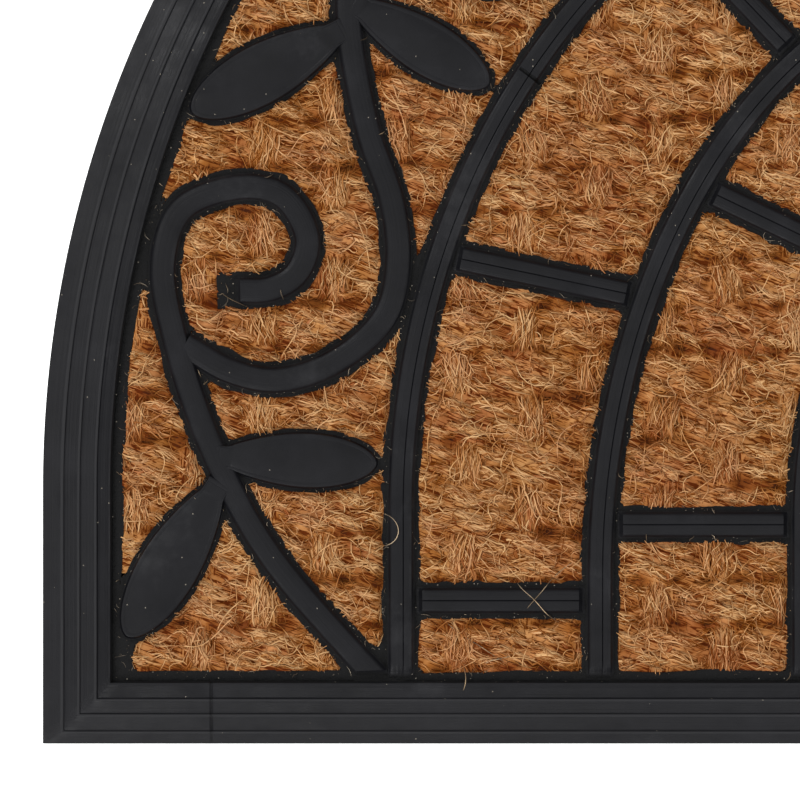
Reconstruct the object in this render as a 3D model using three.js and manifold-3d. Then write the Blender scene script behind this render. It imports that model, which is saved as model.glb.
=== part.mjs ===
// A half-round doormat: black rubber moulded over one panel of woven coir.
// Brick arches of raised rubber bars fill its middle, a vine with leaves runs round them, and a stepped
// border surrounds them all.
// Units are millimetres. +X runs along the straight front edge, +Y towards the crown and +Z up.
// The curves are worked out from the middle of the front edge, and the last lines centre the mat.

import * as THREE from "three";
import { mergeVertices } from "three/addons/utils/BufferGeometryUtils.js";
import Module from "manifold-3d";

// Size of the whole mat
const WIDTH = 600;
const DEPTH = 400;
const GAP = 0.3; // clearance between the rubber and the coir

// Heights above the floor
const BACKING_TOP = 2.0;
const COIR_PRESSED_TOP = 4.9; // the coir under a bar
const COIR_TOP = 8.2; // the coir between the bars
const FLASH_UNDER = COIR_PRESSED_TOP + GAP;
const FLASH_TOP = 5.8;
const BAR_TOP = 8.8;
const LEAF_TOP = 8.4;

// Arches: half an ellipse on two upright legs, measured to the bar's centre line
const OUTLINE = { halfWidth: WIDTH / 2, spring: 77.8, crown: DEPTH };
const ARCHES = [
  { halfWidth: 191.2, spring: 72.1, crown: 291.0 },
  { halfWidth: 130.6, spring: 51.4, crown: 237.5 },
  { halfWidth: 68.4, spring: 67.8, crown: 175.7 },
];

// Border from the outer edge inwards: how far in each point lies at the sides and at the front, and its
// height. Each rib climbs inwards and ends in a small drop.
const BORDER = [
  { side: 0.0, front: 0.0, height: 3.0 },
  { side: 5.8, front: 3.5, height: 4.7 },
  { side: 6.4, front: 4.1, height: 4.2 },
  { side: 10.8, front: 8.7, height: 6.0 },
  { side: 11.4, front: 9.3, height: 5.5 },
  { side: 16.0, front: 13.4, height: 7.2 },
  { side: 16.6, front: 14.0, height: 6.7 },
  { side: 20.2, front: 18.3, height: 8.4 },
  { side: 20.8, front: 18.9, height: FLASH_TOP },
  { side: 24.1, front: 22.0, height: FLASH_TOP },
  { side: 24.1, front: 22.0, height: FLASH_UNDER },
  { side: 20.8, front: 18.9, height: FLASH_UNDER },
];
const BORDER_WALL = BORDER[BORDER.length - 1]; // the inner wall that the coir panel meets
const BORDER_LIP = BORDER[BORDER.length - 2]; // the edge of the lip that lies on the coir
const ARC_STEPS = 44;

// Bars: widths across the flash at the foot and across the raised top
const BAR_FOOT = 11.4;
const BAR_CREST = 7.6;
const BAR_START = 21; // how far from the front edge the bars start, on the border's lip
const ARCH_STEPS = [40, 34, 26];

// Bars between the bricks of the left half. Each runs from one arch to the next one inwards, and its two
// ends are given as heights above the front edge.
const BRICK_JOINTS = [
  { arch: 0, outerHeight: 43.5, innerHeight: 43.5 },
  { arch: 0, outerHeight: 148.7, innerHeight: 135.6 },
  { arch: 0, outerHeight: 250.9, innerHeight: 208.6 },
  { arch: 1, outerHeight: 66.6, innerHeight: 66.6 },
  { arch: 1, outerHeight: 169.6, innerHeight: 144.4 },
];

// Vine ring: the middle line between the border and the first arch
const VINE_LINE = { halfWidth: 236.5, spring: 75.0, crown: 336.4 };
const VINE_UNITS = 3; // on each side of the mat, each with a pair of leaves
const VINE_PITCH = 138.5;
const FIRST_LEAVES = 82.8; // how far up the middle line the first pair of leaves grows

// The vine's points lie along the middle line from a pair of leaves, and outwards across it.
// Its root starts at the foot of the first arch.
const ROOT = [
  { along: BAR_START + 1.5 - FIRST_LEAVES, across: -40.5 },
  { along: -54.5, across: -30.1 },
  { along: -24.1, across: -4.5 },
  { along: 5.7, across: 12.2 },
];
// Each unit's stem passes its leaves, rises to the border and curls into the scroll.
const STEM = [
  { along: -2.0, across: 8.2 },
  { along: 33.2, across: 25.7 },
  { along: 56.2, across: 35.1 },
  { along: 71.7, across: 33.5 },
  { along: 82.5, across: 17.7 },
  { along: 83.8, across: 4.8 },
  { along: 73.4, across: -6.5 },
  { along: 61.5, across: -5.8 },
  { along: 55.4, across: 1.5 },
  { along: 53.7, across: 11.1 },
];
// Its branch leaves the stem, turns back past the first arch and becomes the next unit's stem.
const BRANCH = [
  { along: 35.1, across: 24.0 },
  { along: 29.5, across: 9.3 },
  { along: 28.6, across: -5.7 },
  { along: 37.5, across: -22.7 },
  { along: 55.0, across: -34.4 },
  { along: 74.0, across: -34.2 },
  { along: 93.6, across: -26.4 },
  { along: 113.1, across: -10.7 },
  { along: 130.3, across: 5.8 },
  { along: VINE_PITCH + 4.0, across: 11.6 },
];
const LAST_BRANCH_ROWS = 7; // the last branch runs this far, then meets its mirror image on the axis
const MEETING_ACROSS = -15.0;
const ROOT_STEPS = 8;
const STEM_STEPS = 26;
const BRANCH_STEPS = 18;

// Pair of leaves of each unit, from the front upwards: foot on the stem, heading in degrees from the middle
// line's direction, and size with the flash. Each pair grows a little differently.
const LEAF_PAIRS = [
  [
    { along: 4.0, across: 6.5, heading: -90, length: 46, width: 20.0 },
    { along: -7.6, across: 12.3, heading: 149, length: 51, width: 21.6 },
  ],
  [
    { along: 5.8, across: 6.5, heading: -90, length: 46, width: 20.0 },
    { along: -5.9, across: 11.2, heading: 147, length: 50, width: 21.6 },
  ],
  [
    { along: 4.0, across: 6.5, heading: -90, length: 46, width: 20.0 },
    { along: -5.9, across: 11.2, heading: 148, length: 51, width: 21.6 },
  ],
];
const LEAF_BEVEL = 1.5; // how far the raised face lies inside the edge
const LEAF_STEPS = 8;
const LEAF_ROUNDNESS = 0.62; // 0.5 is an ellipse, and 1 is a parabola with sharp tips

// Left leg, half ellipse and right leg of an arch. Both legs start at the same height above the front edge.
class ArchCurve extends THREE.Curve {
  constructor({ halfWidth, spring, crown }, foot) {
    super();
    this.halfWidth = halfWidth;
    this.spring = spring;
    this.rise = crown - spring;
    this.foot = foot;
    this.arcLengthDivisions = 900;
  }

  getPoint(t, target = new THREE.Vector3()) {
    const legShare = 0.15; // of the parameter, at each end
    const fromEnd = Math.min(t, 1 - t) / legShare;
    if (fromEnd < 1) {
      const x = t < 0.5 ? -this.halfWidth : this.halfWidth;
      return target.set(x, THREE.MathUtils.lerp(this.foot, this.spring, fromEnd), 0);
    }
    const angle = (Math.PI * (t - legShare)) / (1 - 2 * legShare);
    return target.set(
      -this.halfWidth * Math.cos(angle),
      this.spring + this.rise * Math.sin(angle),
      0,
    );
  }
}

// The point that lies a length along the vine's middle line and a distance outwards across it
const vineLine = new ArchCurve(VINE_LINE, 0);
const vineLineLength = vineLine.getLength();

function onVineRing(along, across) {
  const t = along / vineLineLength;
  const tangent = vineLine.getTangentAt(t);
  const outward = new THREE.Vector3(-tangent.y, tangent.x, 0);
  return vineLine.getPointAt(t).addScaledVector(outward, across);
}

// The same point on the other half of the mat
const mirrored = (point) => new THREE.Vector3(-point.x, point.y, point.z);

// Closed loop of the mat's outline, drawn in by a distance at the sides and another at the front
function outlineLoop({ side, front }, height) {
  const halfWidth = OUTLINE.halfWidth - side;
  const rise = OUTLINE.crown - OUTLINE.spring - side;
  const loop = [
    new THREE.Vector3(-halfWidth, front, height),
    new THREE.Vector3(halfWidth, front, height),
  ];
  for (let step = 0; step <= ARC_STEPS; step += 1) {
    const angle = (Math.PI * step) / ARC_STEPS;
    loop.push(
      new THREE.Vector3(
        halfWidth * Math.cos(angle),
        OUTLINE.spring + rise * Math.sin(angle),
        height,
      ),
    );
  }
  return loop;
}

// Solid skinned over loops with the same count of points, each counter-clockwise from above.
// It is capped below its first loop and above its last one.
function skinLoops(loops) {
  const count = loops[0].length;
  const positions = loops.flat().flatMap((point) => [point.x, point.y, point.z]);
  const index = [];
  for (let band = 0; band < loops.length - 1; band += 1) {
    const low = band * count;
    const high = low + count;
    for (let i = 0; i < count; i += 1) {
      const next = (i + 1) % count;
      index.push(low + i, low + next, high + next);
      index.push(low + i, high + next, high + i);
    }
  }
  const top = (loops.length - 1) * count;
  for (const [a, b, c] of THREE.ShapeUtils.triangulateShape(loops[0], [])) {
    index.push(c, b, a);
  }
  for (const [a, b, c] of THREE.ShapeUtils.triangulateShape(loops.at(-1), [])) {
    index.push(top + a, top + b, top + c);
  }
  const geometry = new THREE.BufferGeometry();
  geometry.setAttribute("position", new THREE.Float32BufferAttribute(positions, 3));
  geometry.setIndex(index);
  return geometry;
}

// Section of a bar: upright walls from its underside to the flash, then bevels to its crest.
// In an extrusion along a level path, a shape's +X points down and its +Y points across.
function barSection() {
  const foot = BAR_FOOT / 2;
  const crest = BAR_CREST / 2;
  return new THREE.Shape([
    new THREE.Vector2(-FLASH_UNDER, -foot),
    new THREE.Vector2(-FLASH_UNDER, foot),
    new THREE.Vector2(-FLASH_TOP, foot),
    new THREE.Vector2(-BAR_TOP, crest),
    new THREE.Vector2(-BAR_TOP, -crest),
    new THREE.Vector2(-FLASH_TOP, -foot),
  ]);
}

// Trough that a bar leaves in the coir: as wide as the bar's foot, with clearance
function troughSection() {
  const half = BAR_FOOT / 2 + GAP;
  return new THREE.Shape([
    new THREE.Vector2(-COIR_PRESSED_TOP, -half),
    new THREE.Vector2(-COIR_PRESSED_TOP, half),
    new THREE.Vector2(-BAR_TOP, half),
    new THREE.Vector2(-BAR_TOP, -half),
  ]);
}

function alongPath(section, { curve, steps }) {
  return new THREE.ExtrudeGeometry(section, { extrudePath: curve, steps, bevelEnabled: false });
}

// Outline of a leaf on the vine at one height, drawn in by an inset all round
function leafLoop({ foot, heading, length, width }, inset, height) {
  const along = new THREE.Vector3(Math.cos(heading), Math.sin(heading), 0);
  const across = new THREE.Vector3(-along.y, along.x, 0);
  const loop = [];
  for (let step = 0; step < 2 * LEAF_STEPS; step += 1) {
    const angle = (Math.PI * step) / LEAF_STEPS;
    const share = (1 - Math.cos(angle)) / 2;
    const fullness = (4 * share * (1 - share)) ** LEAF_ROUNDNESS;
    const side = step < LEAF_STEPS ? -1 : 1;
    const point = foot
      .clone()
      .addScaledVector(along, THREE.MathUtils.lerp(inset, length - inset, share))
      .addScaledVector(across, side * fullness * (width / 2 - inset));
    loop.push(point.setZ(height));
  }
  return loop;
}

// Point on the left half of an arch's centre line at a height above the front edge
function onArch({ halfWidth, spring, crown }, height) {
  const climb = Math.max(height - spring, 0) / (crown - spring);
  return new THREE.Vector3(-halfWidth * Math.sqrt(1 - climb ** 2), height, 0);
}

// Rows of the vine's points in millimetres, counted from a place on the middle line
function vinePoints(start, rows) {
  return rows.map(({ along, across }) => onVineRing(start + along, across));
}

// Centre lines of the vine's bars on the left half of the mat
function vinePaths() {
  const paths = [{ points: vinePoints(FIRST_LEAVES, ROOT), steps: ROOT_STEPS }];
  for (let unit = 0; unit < VINE_UNITS; unit += 1) {
    const start = FIRST_LEAVES + unit * VINE_PITCH;
    const isLast = unit === VINE_UNITS - 1;
    const meeting = { along: vineLineLength / 2 - start, across: MEETING_ACROSS };
    const branch = isLast ? [...BRANCH.slice(0, LAST_BRANCH_ROWS), meeting] : BRANCH;
    paths.push({ points: vinePoints(start, STEM), steps: STEM_STEPS });
    paths.push({ points: vinePoints(start, branch), steps: BRANCH_STEPS });
  }
  return paths;
}

// Every bar of the mat: its centre line and its steps
function barPaths() {
  const paths = ARCHES.map((arch, i) => ({
    curve: new ArchCurve(arch, BAR_START),
    steps: ARCH_STEPS[i],
  }));
  const addStraight = (outer, inner) => paths.push({ curve: new THREE.LineCurve3(outer, inner), steps: 1 });
  for (let i = 1; i < ARCHES.length; i += 1) {
    addStraight(onArch(ARCHES[i - 1], ARCHES[i - 1].crown), onArch(ARCHES[i], ARCHES[i].crown));
  }
  for (const { arch, outerHeight, innerHeight } of BRICK_JOINTS) {
    const outer = onArch(ARCHES[arch], outerHeight);
    const inner = onArch(ARCHES[arch + 1], innerHeight);
    addStraight(outer, inner);
    addStraight(mirrored(outer), mirrored(inner));
  }
  for (const { points, steps } of vinePaths()) {
    paths.push({ curve: new THREE.CatmullRomCurve3(points), steps });
    paths.push({ curve: new THREE.CatmullRomCurve3(points.map(mirrored)), steps });
  }
  return paths;
}

// Every leaf of the mat: its foot, the direction of its tip in radians and its size
function leafPlaces() {
  const places = [];
  for (let unit = 0; unit < VINE_UNITS; unit += 1) {
    for (const { along, across, heading, length, width } of LEAF_PAIRS[unit]) {
      const start = FIRST_LEAVES + unit * VINE_PITCH + along;
      const tangent = vineLine.getTangentAt(start / vineLineLength);
      const direction = Math.atan2(tangent.y, tangent.x) + THREE.MathUtils.degToRad(heading);
      const foot = onVineRing(start, across);
      places.push({ foot, heading: direction, length, width });
      places.push({ foot: mirrored(foot), heading: Math.PI - direction, length, width });
    }
  }
  return places;
}

const wasm = await Module();
wasm.setup();

// A closed geometry as a solid that can be joined and cut
function solidOf(geometry) {
  geometry.deleteAttribute("normal");
  geometry.deleteAttribute("uv");
  const merged = mergeVertices(geometry);
  const vertProperties = merged.getAttribute("position").array;
  const triVerts = new Uint32Array(merged.index.array);
  return new wasm.Manifold(new wasm.Mesh({ numProp: 3, vertProperties, triVerts }));
}

function geometryOf(solid) {
  const { vertProperties, triVerts } = solid.getMesh();
  const geometry = new THREE.BufferGeometry();
  geometry.setAttribute("position", new THREE.BufferAttribute(vertProperties, 3));
  geometry.setIndex(new THREE.BufferAttribute(triVerts, 1));
  return geometry;
}

const bars = barPaths();
const leaves = leafPlaces();

// Rubber: a tray of backing sheet and border, with the bars and the leaves bridging the coir
function makeRubber() {
  const tray = skinLoops([
    outlineLoop(BORDER[0], 0),
    ...BORDER.map((row) => outlineLoop(row, row.height)),
    outlineLoop(BORDER_WALL, BACKING_TOP),
  ]);
  const raised = [
    ...bars.map((path) => alongPath(barSection(), path)),
    ...leaves.map((leaf) =>
      skinLoops([
        leafLoop(leaf, 0, FLASH_UNDER),
        leafLoop(leaf, 0, FLASH_TOP),
        leafLoop(leaf, LEAF_BEVEL, LEAF_TOP),
      ]),
    ),
  ];
  return raised.reduce((rubber, piece) => rubber.add(solidOf(piece)), solidOf(tray));
}

// Coir: a pressed panel that reaches under the border's lip, with raised cells between the bars
function makeCoir() {
  const inside = ({ side, front }) => ({ side: side + GAP, front: front + GAP });
  const panel = skinLoops([
    outlineLoop(inside(BORDER_WALL), BACKING_TOP + GAP),
    outlineLoop(inside(BORDER_WALL), COIR_PRESSED_TOP),
  ]);
  const insidePanel = (BACKING_TOP + COIR_PRESSED_TOP) / 2; // so that the two join as one body
  const cells = skinLoops([
    outlineLoop(inside(BORDER_LIP), insidePanel),
    outlineLoop(inside(BORDER_LIP), COIR_TOP),
  ]);
  const troughs = [
    ...bars.map((path) => alongPath(troughSection(), path)),
    ...leaves.map((leaf) =>
      skinLoops([leafLoop(leaf, -GAP, COIR_PRESSED_TOP), leafLoop(leaf, -GAP, BAR_TOP)]),
    ),
  ];
  return troughs
    .reduce((coir, trough) => coir.subtract(solidOf(trough)), solidOf(cells))
    .add(solidOf(panel));
}

function makePiece(name, solid, material) {
  const mesh = new THREE.Mesh(geometryOf(solid), material);
  mesh.name = name;
  return mesh;
}

const blackRubber = new THREE.MeshStandardMaterial({ color: 0x2a2a2d, roughness: 0.75, metalness: 0 });
const goldenCoir = new THREE.MeshStandardMaterial({ color: 0xb07a44, roughness: 1, metalness: 0 });

const doormat = new THREE.Group();
doormat.add(makePiece("rubber_moulding", makeRubber(), blackRubber));
doormat.add(makePiece("coir_mat", makeCoir(), goldenCoir));
doormat.position.y = -DEPTH / 2;

export default doormat;
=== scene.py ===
# A half-round doormat of black rubber moulded over one panel of woven coir.
# The file follows the mat as it is put together: the rubber tray with its stepped border, the brick arches,
# the vine and its leaves, then the coir and its loose fibres, and last the floor, the lights and the camera.
# Shapes are worked out in millimetres from the middle of the straight front edge: x runs along that edge,
# y towards the crown and z up.

import bpy
import numpy as np
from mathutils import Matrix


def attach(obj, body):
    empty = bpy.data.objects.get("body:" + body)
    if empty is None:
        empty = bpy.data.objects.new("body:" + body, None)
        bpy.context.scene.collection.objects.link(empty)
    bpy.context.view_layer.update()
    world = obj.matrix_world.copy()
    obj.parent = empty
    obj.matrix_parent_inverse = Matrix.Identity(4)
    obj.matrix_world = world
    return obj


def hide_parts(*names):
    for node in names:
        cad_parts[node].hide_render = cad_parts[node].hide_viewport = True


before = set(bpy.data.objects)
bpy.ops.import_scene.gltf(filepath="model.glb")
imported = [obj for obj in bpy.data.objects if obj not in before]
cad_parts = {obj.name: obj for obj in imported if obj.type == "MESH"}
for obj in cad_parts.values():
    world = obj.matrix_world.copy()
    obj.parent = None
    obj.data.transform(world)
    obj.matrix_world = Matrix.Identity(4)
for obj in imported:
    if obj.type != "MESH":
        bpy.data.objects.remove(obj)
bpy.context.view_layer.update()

# Tray and stepped border
# One black rubber moulding carries the mat. Its backing sheet runs under the coir, and its edge is moulded
# into four ribs that step up to a thin lip, which lies on the coir. The ribs mitre at the front corners.
MM = 0.001
WIDTH = 600.0
DEPTH = 400.0
SPRING = 77.8  # how far the sides run straight before they curve in
BACKING_TOP = 2.0
FLASH_UNDER = 5.2
FLASH_TOP = 5.8

# Ribs from the outer edge inwards: where each starts and ends at the sides and at the front, and its heights
RIBS = np.array(
    [
        [0.0, 5.8, 0.0, 3.5, 3.0, 4.7],
        [6.4, 10.8, 4.1, 8.7, 4.4, 6.0],
        [11.4, 16.0, 9.3, 13.4, 5.7, 7.2],
        [16.6, 20.2, 14.0, 18.3, 6.85, 8.4],
    ]
)
# Shape of one rib: shares of its width, how far it stands above its straight climb, and how much painted
# sheen it gets, the most as a painted highlight on the bead near its inner edge
RIB_SHARES = np.array([-0.05, -0.01, 0.05, 0.3, 0.6, 0.84, 0.92, 0.97, 1.04])
RIB_SWELL = np.array([-0.08, 0.0, 0.03, 0.04, 0.04, 0.06, 0.22, 0.1, -0.13])
RIB_PAINTED_SHEEN = np.array([0.4, 0.35, 0.23, 0.23, 0.23, 0.3, 1.0, 0.9, 0.5])
INNER_RIB_PAINTED_SHEEN = 0.2  # the inner rib gets only this share of the painted sheen
# Lip and inner wall: in from the sides, in from the front, and height
LIP = np.array(
    [
        [20.8, 18.9, 5.5],
        [21.2, 19.3, 5.8],
        [23.3, 21.3, 5.9],
        [24.1, 22.0, 5.7],
        [24.1, 22.0, FLASH_UNDER],
        [20.8, 18.9, FLASH_UNDER],
        [20.8, 18.9, BACKING_TOP],
    ]
)
LIP_EDGE = LIP[3]  # the edge that lies on the coir
LIP_EDGE_ROWS = slice(-4, -2)  # the two of the border's rows that make this edge
LIP_START = 21.3  # up from the front edge, where the bars end against the lip
FRONT_STEPS = 150
SIDE_STEPS = 20
CROWN_STEPS = 270
LOOP_STEP = 2.9  # about how far apart the points of the border's loops are
LIP_RAGGED = 0.15  # how far the lip's torn edge wanders from point to point
LIP_DRIFT = (14, 0.8, 41)  # the edge also runs in and out slowly: size and amount of the drift, and its seed
LATTICE = 160  # random values along each side of the lattice that a drift is read from
LATTICE_PLACE = (80, 20)  # the lattice's corner that lies at the front edge's middle
SHARP_ANGLE = 38  # rubber edges that turn further than this look sharp, in degrees

rng = np.random.default_rng(61)


def grid_quads(rows, columns, wrap=False):
    """Corner numbers of a grid's quads, for points numbered row by row. A wrapped row closes on itself."""
    row = np.arange(rows - 1)[:, None] * columns
    column = np.arange(columns if wrap else columns - 1)[None, :]
    following = (column + 1) % columns
    corners = [row + column, row + following, row + columns + following, row + columns + column]
    return np.stack(corners, axis=-1).reshape(-1, 4)


def ragged(count, amount):
    """Uneven edge: random offsets, each blended with its neighbours in the shares 1, 3, 4, 3 and 1."""
    offsets = rng.normal(0, amount, count + 4)
    smoothed = np.convolve(offsets, [0.25, 0.75, 1, 0.75, 0.25], mode="valid")
    return smoothed - smoothed.mean()


def between_corners(values, i, j, s, t):
    """Values of a lattice at shares s and t of the way from corner (i, j) to the corner beyond it."""
    low = values[i, j] * (1 - s) + values[i + 1, j] * s
    high = values[i, j + 1] * (1 - s) + values[i + 1, j + 1] * s
    return low * (1 - t) + high * t


def drift(x, y, size, amount, seed):
    """Slow random drift: random values on a lattice, blended between its corners by smooth steps."""
    values = np.random.default_rng(seed).uniform(-amount, amount, (LATTICE, LATTICE))
    u, v = x / size + LATTICE_PLACE[0], y / size + LATTICE_PLACE[1]
    i, j = np.floor(u).astype(int), np.floor(v).astype(int)
    s, t = u - i, v - j
    return between_corners(values, i, j, s * s * (3 - 2 * s), t * t * (3 - 2 * t))


def drifts(x, y, layers, start=0.0):
    """Several drifts added to a start, each given as its size, amount and seed."""
    return sum((drift(x, y, *layer) for layer in layers), start)


def make_piece(name, points, faces, material, rubber_edges=False, **marks):
    """A mesh of points in millimetres, with faces given as arrays of corner numbers, and a mark per point.

    It moves the front edge's middle to its place in the frame, and turns millimetres into metres.
    """
    mesh = bpy.data.meshes.new(name)
    placed = (points.reshape(-1, 3) - (0, DEPTH / 2, 0)) * MM
    mesh.vertices.add(len(placed))
    mesh.vertices.foreach_set("co", placed.astype(np.float32).ravel())
    sides = np.concatenate([np.full(len(rows), rows.shape[1]) for rows in faces])
    mesh.loops.add(int(sides.sum()))
    mesh.loops.foreach_set("vertex_index", np.concatenate([rows.ravel() for rows in faces]))
    mesh.polygons.add(len(sides))
    mesh.polygons.foreach_set("loop_start", np.cumsum(sides) - sides)
    mesh.update(calc_edges=True)
    mesh.shade_smooth()
    if rubber_edges:
        mesh.set_sharp_from_angle(angle=np.radians(SHARP_ANGLE))
    for label, values in marks.items():
        kind, field = ("FLOAT", "value") if values.ndim == 1 else ("FLOAT_VECTOR", "vector")
        mesh.attributes.new(label, kind, "POINT").data.foreach_set(field, values.astype(np.float32).ravel())
    mesh.materials.append(material)
    piece = bpy.data.objects.new(name, mesh)
    bpy.context.scene.collection.objects.link(piece)
    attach(piece, "root")
    return piece


def feed(material, node, inputs):
    """Sets a shader node's inputs to values or to other nodes' outputs."""
    for socket, value in inputs.items():
        if isinstance(value, bpy.types.NodeSocket):
            material.node_tree.links.new(value, node.inputs[socket])
        else:
            node.inputs[socket].default_value = value


def add_node(material, kind, inputs, **settings):
    """A shader node with its inputs, and with settings of its own fields."""
    node = material.node_tree.nodes.new("ShaderNode" + kind)
    for field, value in settings.items():
        setattr(node, field, value)
    feed(material, node, inputs)
    return node


def calculated(material, operation, *values):
    """What a sum, product or comparison of values, or of other nodes' outputs, comes to."""
    return add_node(material, "Math", dict(enumerate(values)), operation=operation).outputs[0]


def vector_math(material, operation, *vectors, output="Vector"):
    """The same for vectors."""
    return add_node(material, "VectorMath", dict(enumerate(vectors)), operation=operation).outputs[output]


def rescaled(material, value, old, new, **settings):
    """A value between the old low and high, carried over to between the new ones."""
    inputs = {"Value": value, "From Min": old[0], "From Max": old[1], "To Min": new[0], "To Max": new[1]}
    return add_node(material, "MapRange", inputs, **settings).outputs["Result"]


def noise(material, place, **pattern):
    """Cloudy noise at a place, from 0 to 1."""
    return add_node(material, "TexNoise", {"Vector": place, **pattern}).outputs["Fac"]


def mark(material, name, output="Fac"):
    """A mark that a piece's points carry."""
    return add_node(material, "Attribute", {}, attribute_name=name).outputs[output]


def mixed(material, share, first, second):
    """The first colour, with the second over it by a share from 0 to 1."""
    inputs = {"Factor": share, 6: first, 7: second}
    return add_node(material, "Mix", inputs, data_type="RGBA").outputs[2]


def blended(material, share, first, second):
    """The same for plain values."""
    return add_node(material, "Mix", {"Factor": share, 2: first, 3: second}).outputs[0]


def add_ramp(material, value, stops):
    """A colour ramp through (place, colour) stops."""
    node = add_node(material, "ValToRGB", {"Fac": value})
    while len(node.color_ramp.elements) < len(stops):
        node.color_ramp.elements.new(0.5)
    for element, (place, colour) in zip(node.color_ramp.elements, stops):
        element.position = place
        element.color = (*colour, 1)
    return node.outputs["Color"]


def new_material(name):
    """A material and its shader."""
    material = bpy.data.materials.new(name)
    material.use_nodes = True
    return material, material.node_tree.nodes["Principled BSDF"]


# Rubber's colours, and the patterns on it in cycles per metre
RUBBER_BLACKS = [
    (0.3, (0.0028, 0.0028, 0.0036)),
    (0.55, (0.0042, 0.0042, 0.0054)),
    (0.8, (0.0075, 0.0075, 0.0092)),
]
# Grey of the rubbed wear, which is also painted on the border's ribs as sheen and highlight
SCUFF_AND_SHEEN_GREY = (0.017, 0.017, 0.0185, 1)
RUBBER_DUST = (0.17, 0.15, 0.12, 1)
TORN_BLACK = (0.006, 0.006, 0.0062, 1)
SEAM_BLACK = (0.003, 0.003, 0.003, 1)
CLOUDS = {"Scale": 55, "Detail": 5, "Roughness": 0.6}
SCUFFS = {"Scale": 28, "Detail": 8, "Roughness": 0.7}
SHEEN = {"Scale": 90, "Detail": 5, "Roughness": 0.65}
GRAIN = {"Scale": 1800, "Detail": 2}
LUMPS = {"Scale": 450, "Detail": 3}
STREAKS = (14, 1300, 0)  # along a bar and across it
GRIT_SCALE = 900
# What two of the patterns turn into: from low to high values of the noise, and of the scuffing or roughness
SCUFFING = ((0.56, 0.72), (0, 0.8))
SATIN = ((0.3, 0.7), (0.34, 0.68))
TORN_ROUGHNESS = 0.9
RUBBER_SPECULAR = 0.135
GRIT_SIZE = 0.17  # of a speck of dust, as a share of the grit's cell
GRIT_SLOPE = 0.3  # the grain dips this far out from the middle of each cell
# Only a cell whose random value is over the second number holds a speck. Torn rubber adds the first to it
RAREST_GRIT = (-0.09, 0.986)
# Fine seams, where two inserts of the mould met: middle (x, y), direction across the seam and half its
# length, all in metres, and how dark and deep it is as a share
SEAMS = (((-0.2489, -0.1907), (1, 0), 0.0095, 0.35), ((-0.1512, 0.0026), (0.6, 0.8), 0.0048, 1.0))
SEAM_HALF = 0.0006
SEAM_DEPTH = 0.0012


def black_rubber():
    """Matt black rubber: cloudy patches, wear, dust specks, seams, streaks along each bar and fine grain.

    Points marked torn are the dull, rough skin of the lip and the flash. Points marked with painted sheen are
    greyer: a painted sheen on the border's ribs and a painted highlight on their beads.
    """
    material, shader = new_material("black_rubber")
    place = add_node(material, "TexCoord", {}).outputs["Object"]
    torn = mark(material, "torn")
    clouds = noise(material, place, **CLOUDS)
    tint = add_ramp(material, clouds, RUBBER_BLACKS)
    scuff = rescaled(material, noise(material, place, **SCUFFS), *SCUFFING)
    # The ribs' painted sheen and highlights are greyed like the rubbed wear
    scuffs_and_sheen = calculated(material, "MAXIMUM", scuff, mark(material, "scuffed"))
    worn_and_sheened = mixed(material, torn, mixed(material, scuffs_and_sheen, tint, SCUFF_AND_SHEEN_GREY), TORN_BLACK)

    grit = add_node(material, "TexVoronoi", {"Vector": place, "Scale": GRIT_SCALE, "Randomness": 1})
    near_middle = calculated(material, "LESS_THAN", grit.outputs["Distance"], GRIT_SIZE)
    chosen = add_node(material, "SeparateColor", {"Color": grit.outputs["Color"]}).outputs["Red"]
    rarity = calculated(material, "MULTIPLY_ADD", torn, *RAREST_GRIT)
    rare = calculated(material, "GREATER_THAN", chosen, rarity)
    speck = calculated(material, "MULTIPLY", near_middle, rare)
    dusty_and_sheened = mixed(material, speck, worn_and_sheened, RUBBER_DUST)

    flat_place = vector_math(material, "MULTIPLY", place, (1, 1, 0))
    any_seam = 0.0
    for (x, y), across, reach, share in SEAMS:
        offset = vector_math(material, "SUBTRACT", flat_place, (x, y, 0))
        aside = vector_math(material, "DOT_PRODUCT", offset, (*across, 0), output="Value")
        away = vector_math(material, "LENGTH", offset, output="Value")
        distance = calculated(material, "ABSOLUTE", aside)
        beside = rescaled(material, distance, (0, SEAM_HALF), (share, 0))
        within = calculated(material, "LESS_THAN", away, reach)
        any_seam = calculated(material, "MULTIPLY_ADD", beside, within, any_seam)

    satin = rescaled(material, noise(material, place, **SHEEN), *SATIN)
    run = mark(material, "run", "Vector")
    streaks = noise(material, vector_math(material, "MULTIPLY", run, STREAKS), Scale=1, Detail=3)
    lumpy = calculated(material, "MULTIPLY", noise(material, place, **LUMPS), torn)
    under = {}
    # Reliefs of the skin, one on another: height, strength and depth
    for height, strength, depth in (
        (clouds, 0.25, 0.0008),
        (streaks, 0.7, 0.00025),
        (noise(material, place, **GRAIN), 0.35, 0.0001),
        (rescaled(material, grit.outputs["Distance"], (0, GRIT_SLOPE), (0, 1)), 0.2, 0.00005),
        (lumpy, 0.9, 0.0009),
        (calculated(material, "SUBTRACT", 1.0, any_seam), 1.0, SEAM_DEPTH),
    ):
        bump = add_node(
            material, "Bump", {"Height": height, "Strength": strength, "Distance": depth, **under}
        )
        under = {"Normal": bump.outputs["Normal"]}
    feed(
        material,
        shader,
        {
            "Base Color": mixed(material, any_seam, dusty_and_sheened, SEAM_BLACK),
            "Roughness": blended(material, torn, satin, TORN_ROUGHNESS),
            "Specular IOR Level": RUBBER_SPECULAR,
            **under,
        },
    )
    return material


rubber = black_rubber()


def rubber_piece(name, points, faces, **marks):
    """A visible piece of the moulding."""
    piece = make_piece(name, points, faces, rubber, rubber_edges=True, **marks)
    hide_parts("rubber_moulding")


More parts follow.
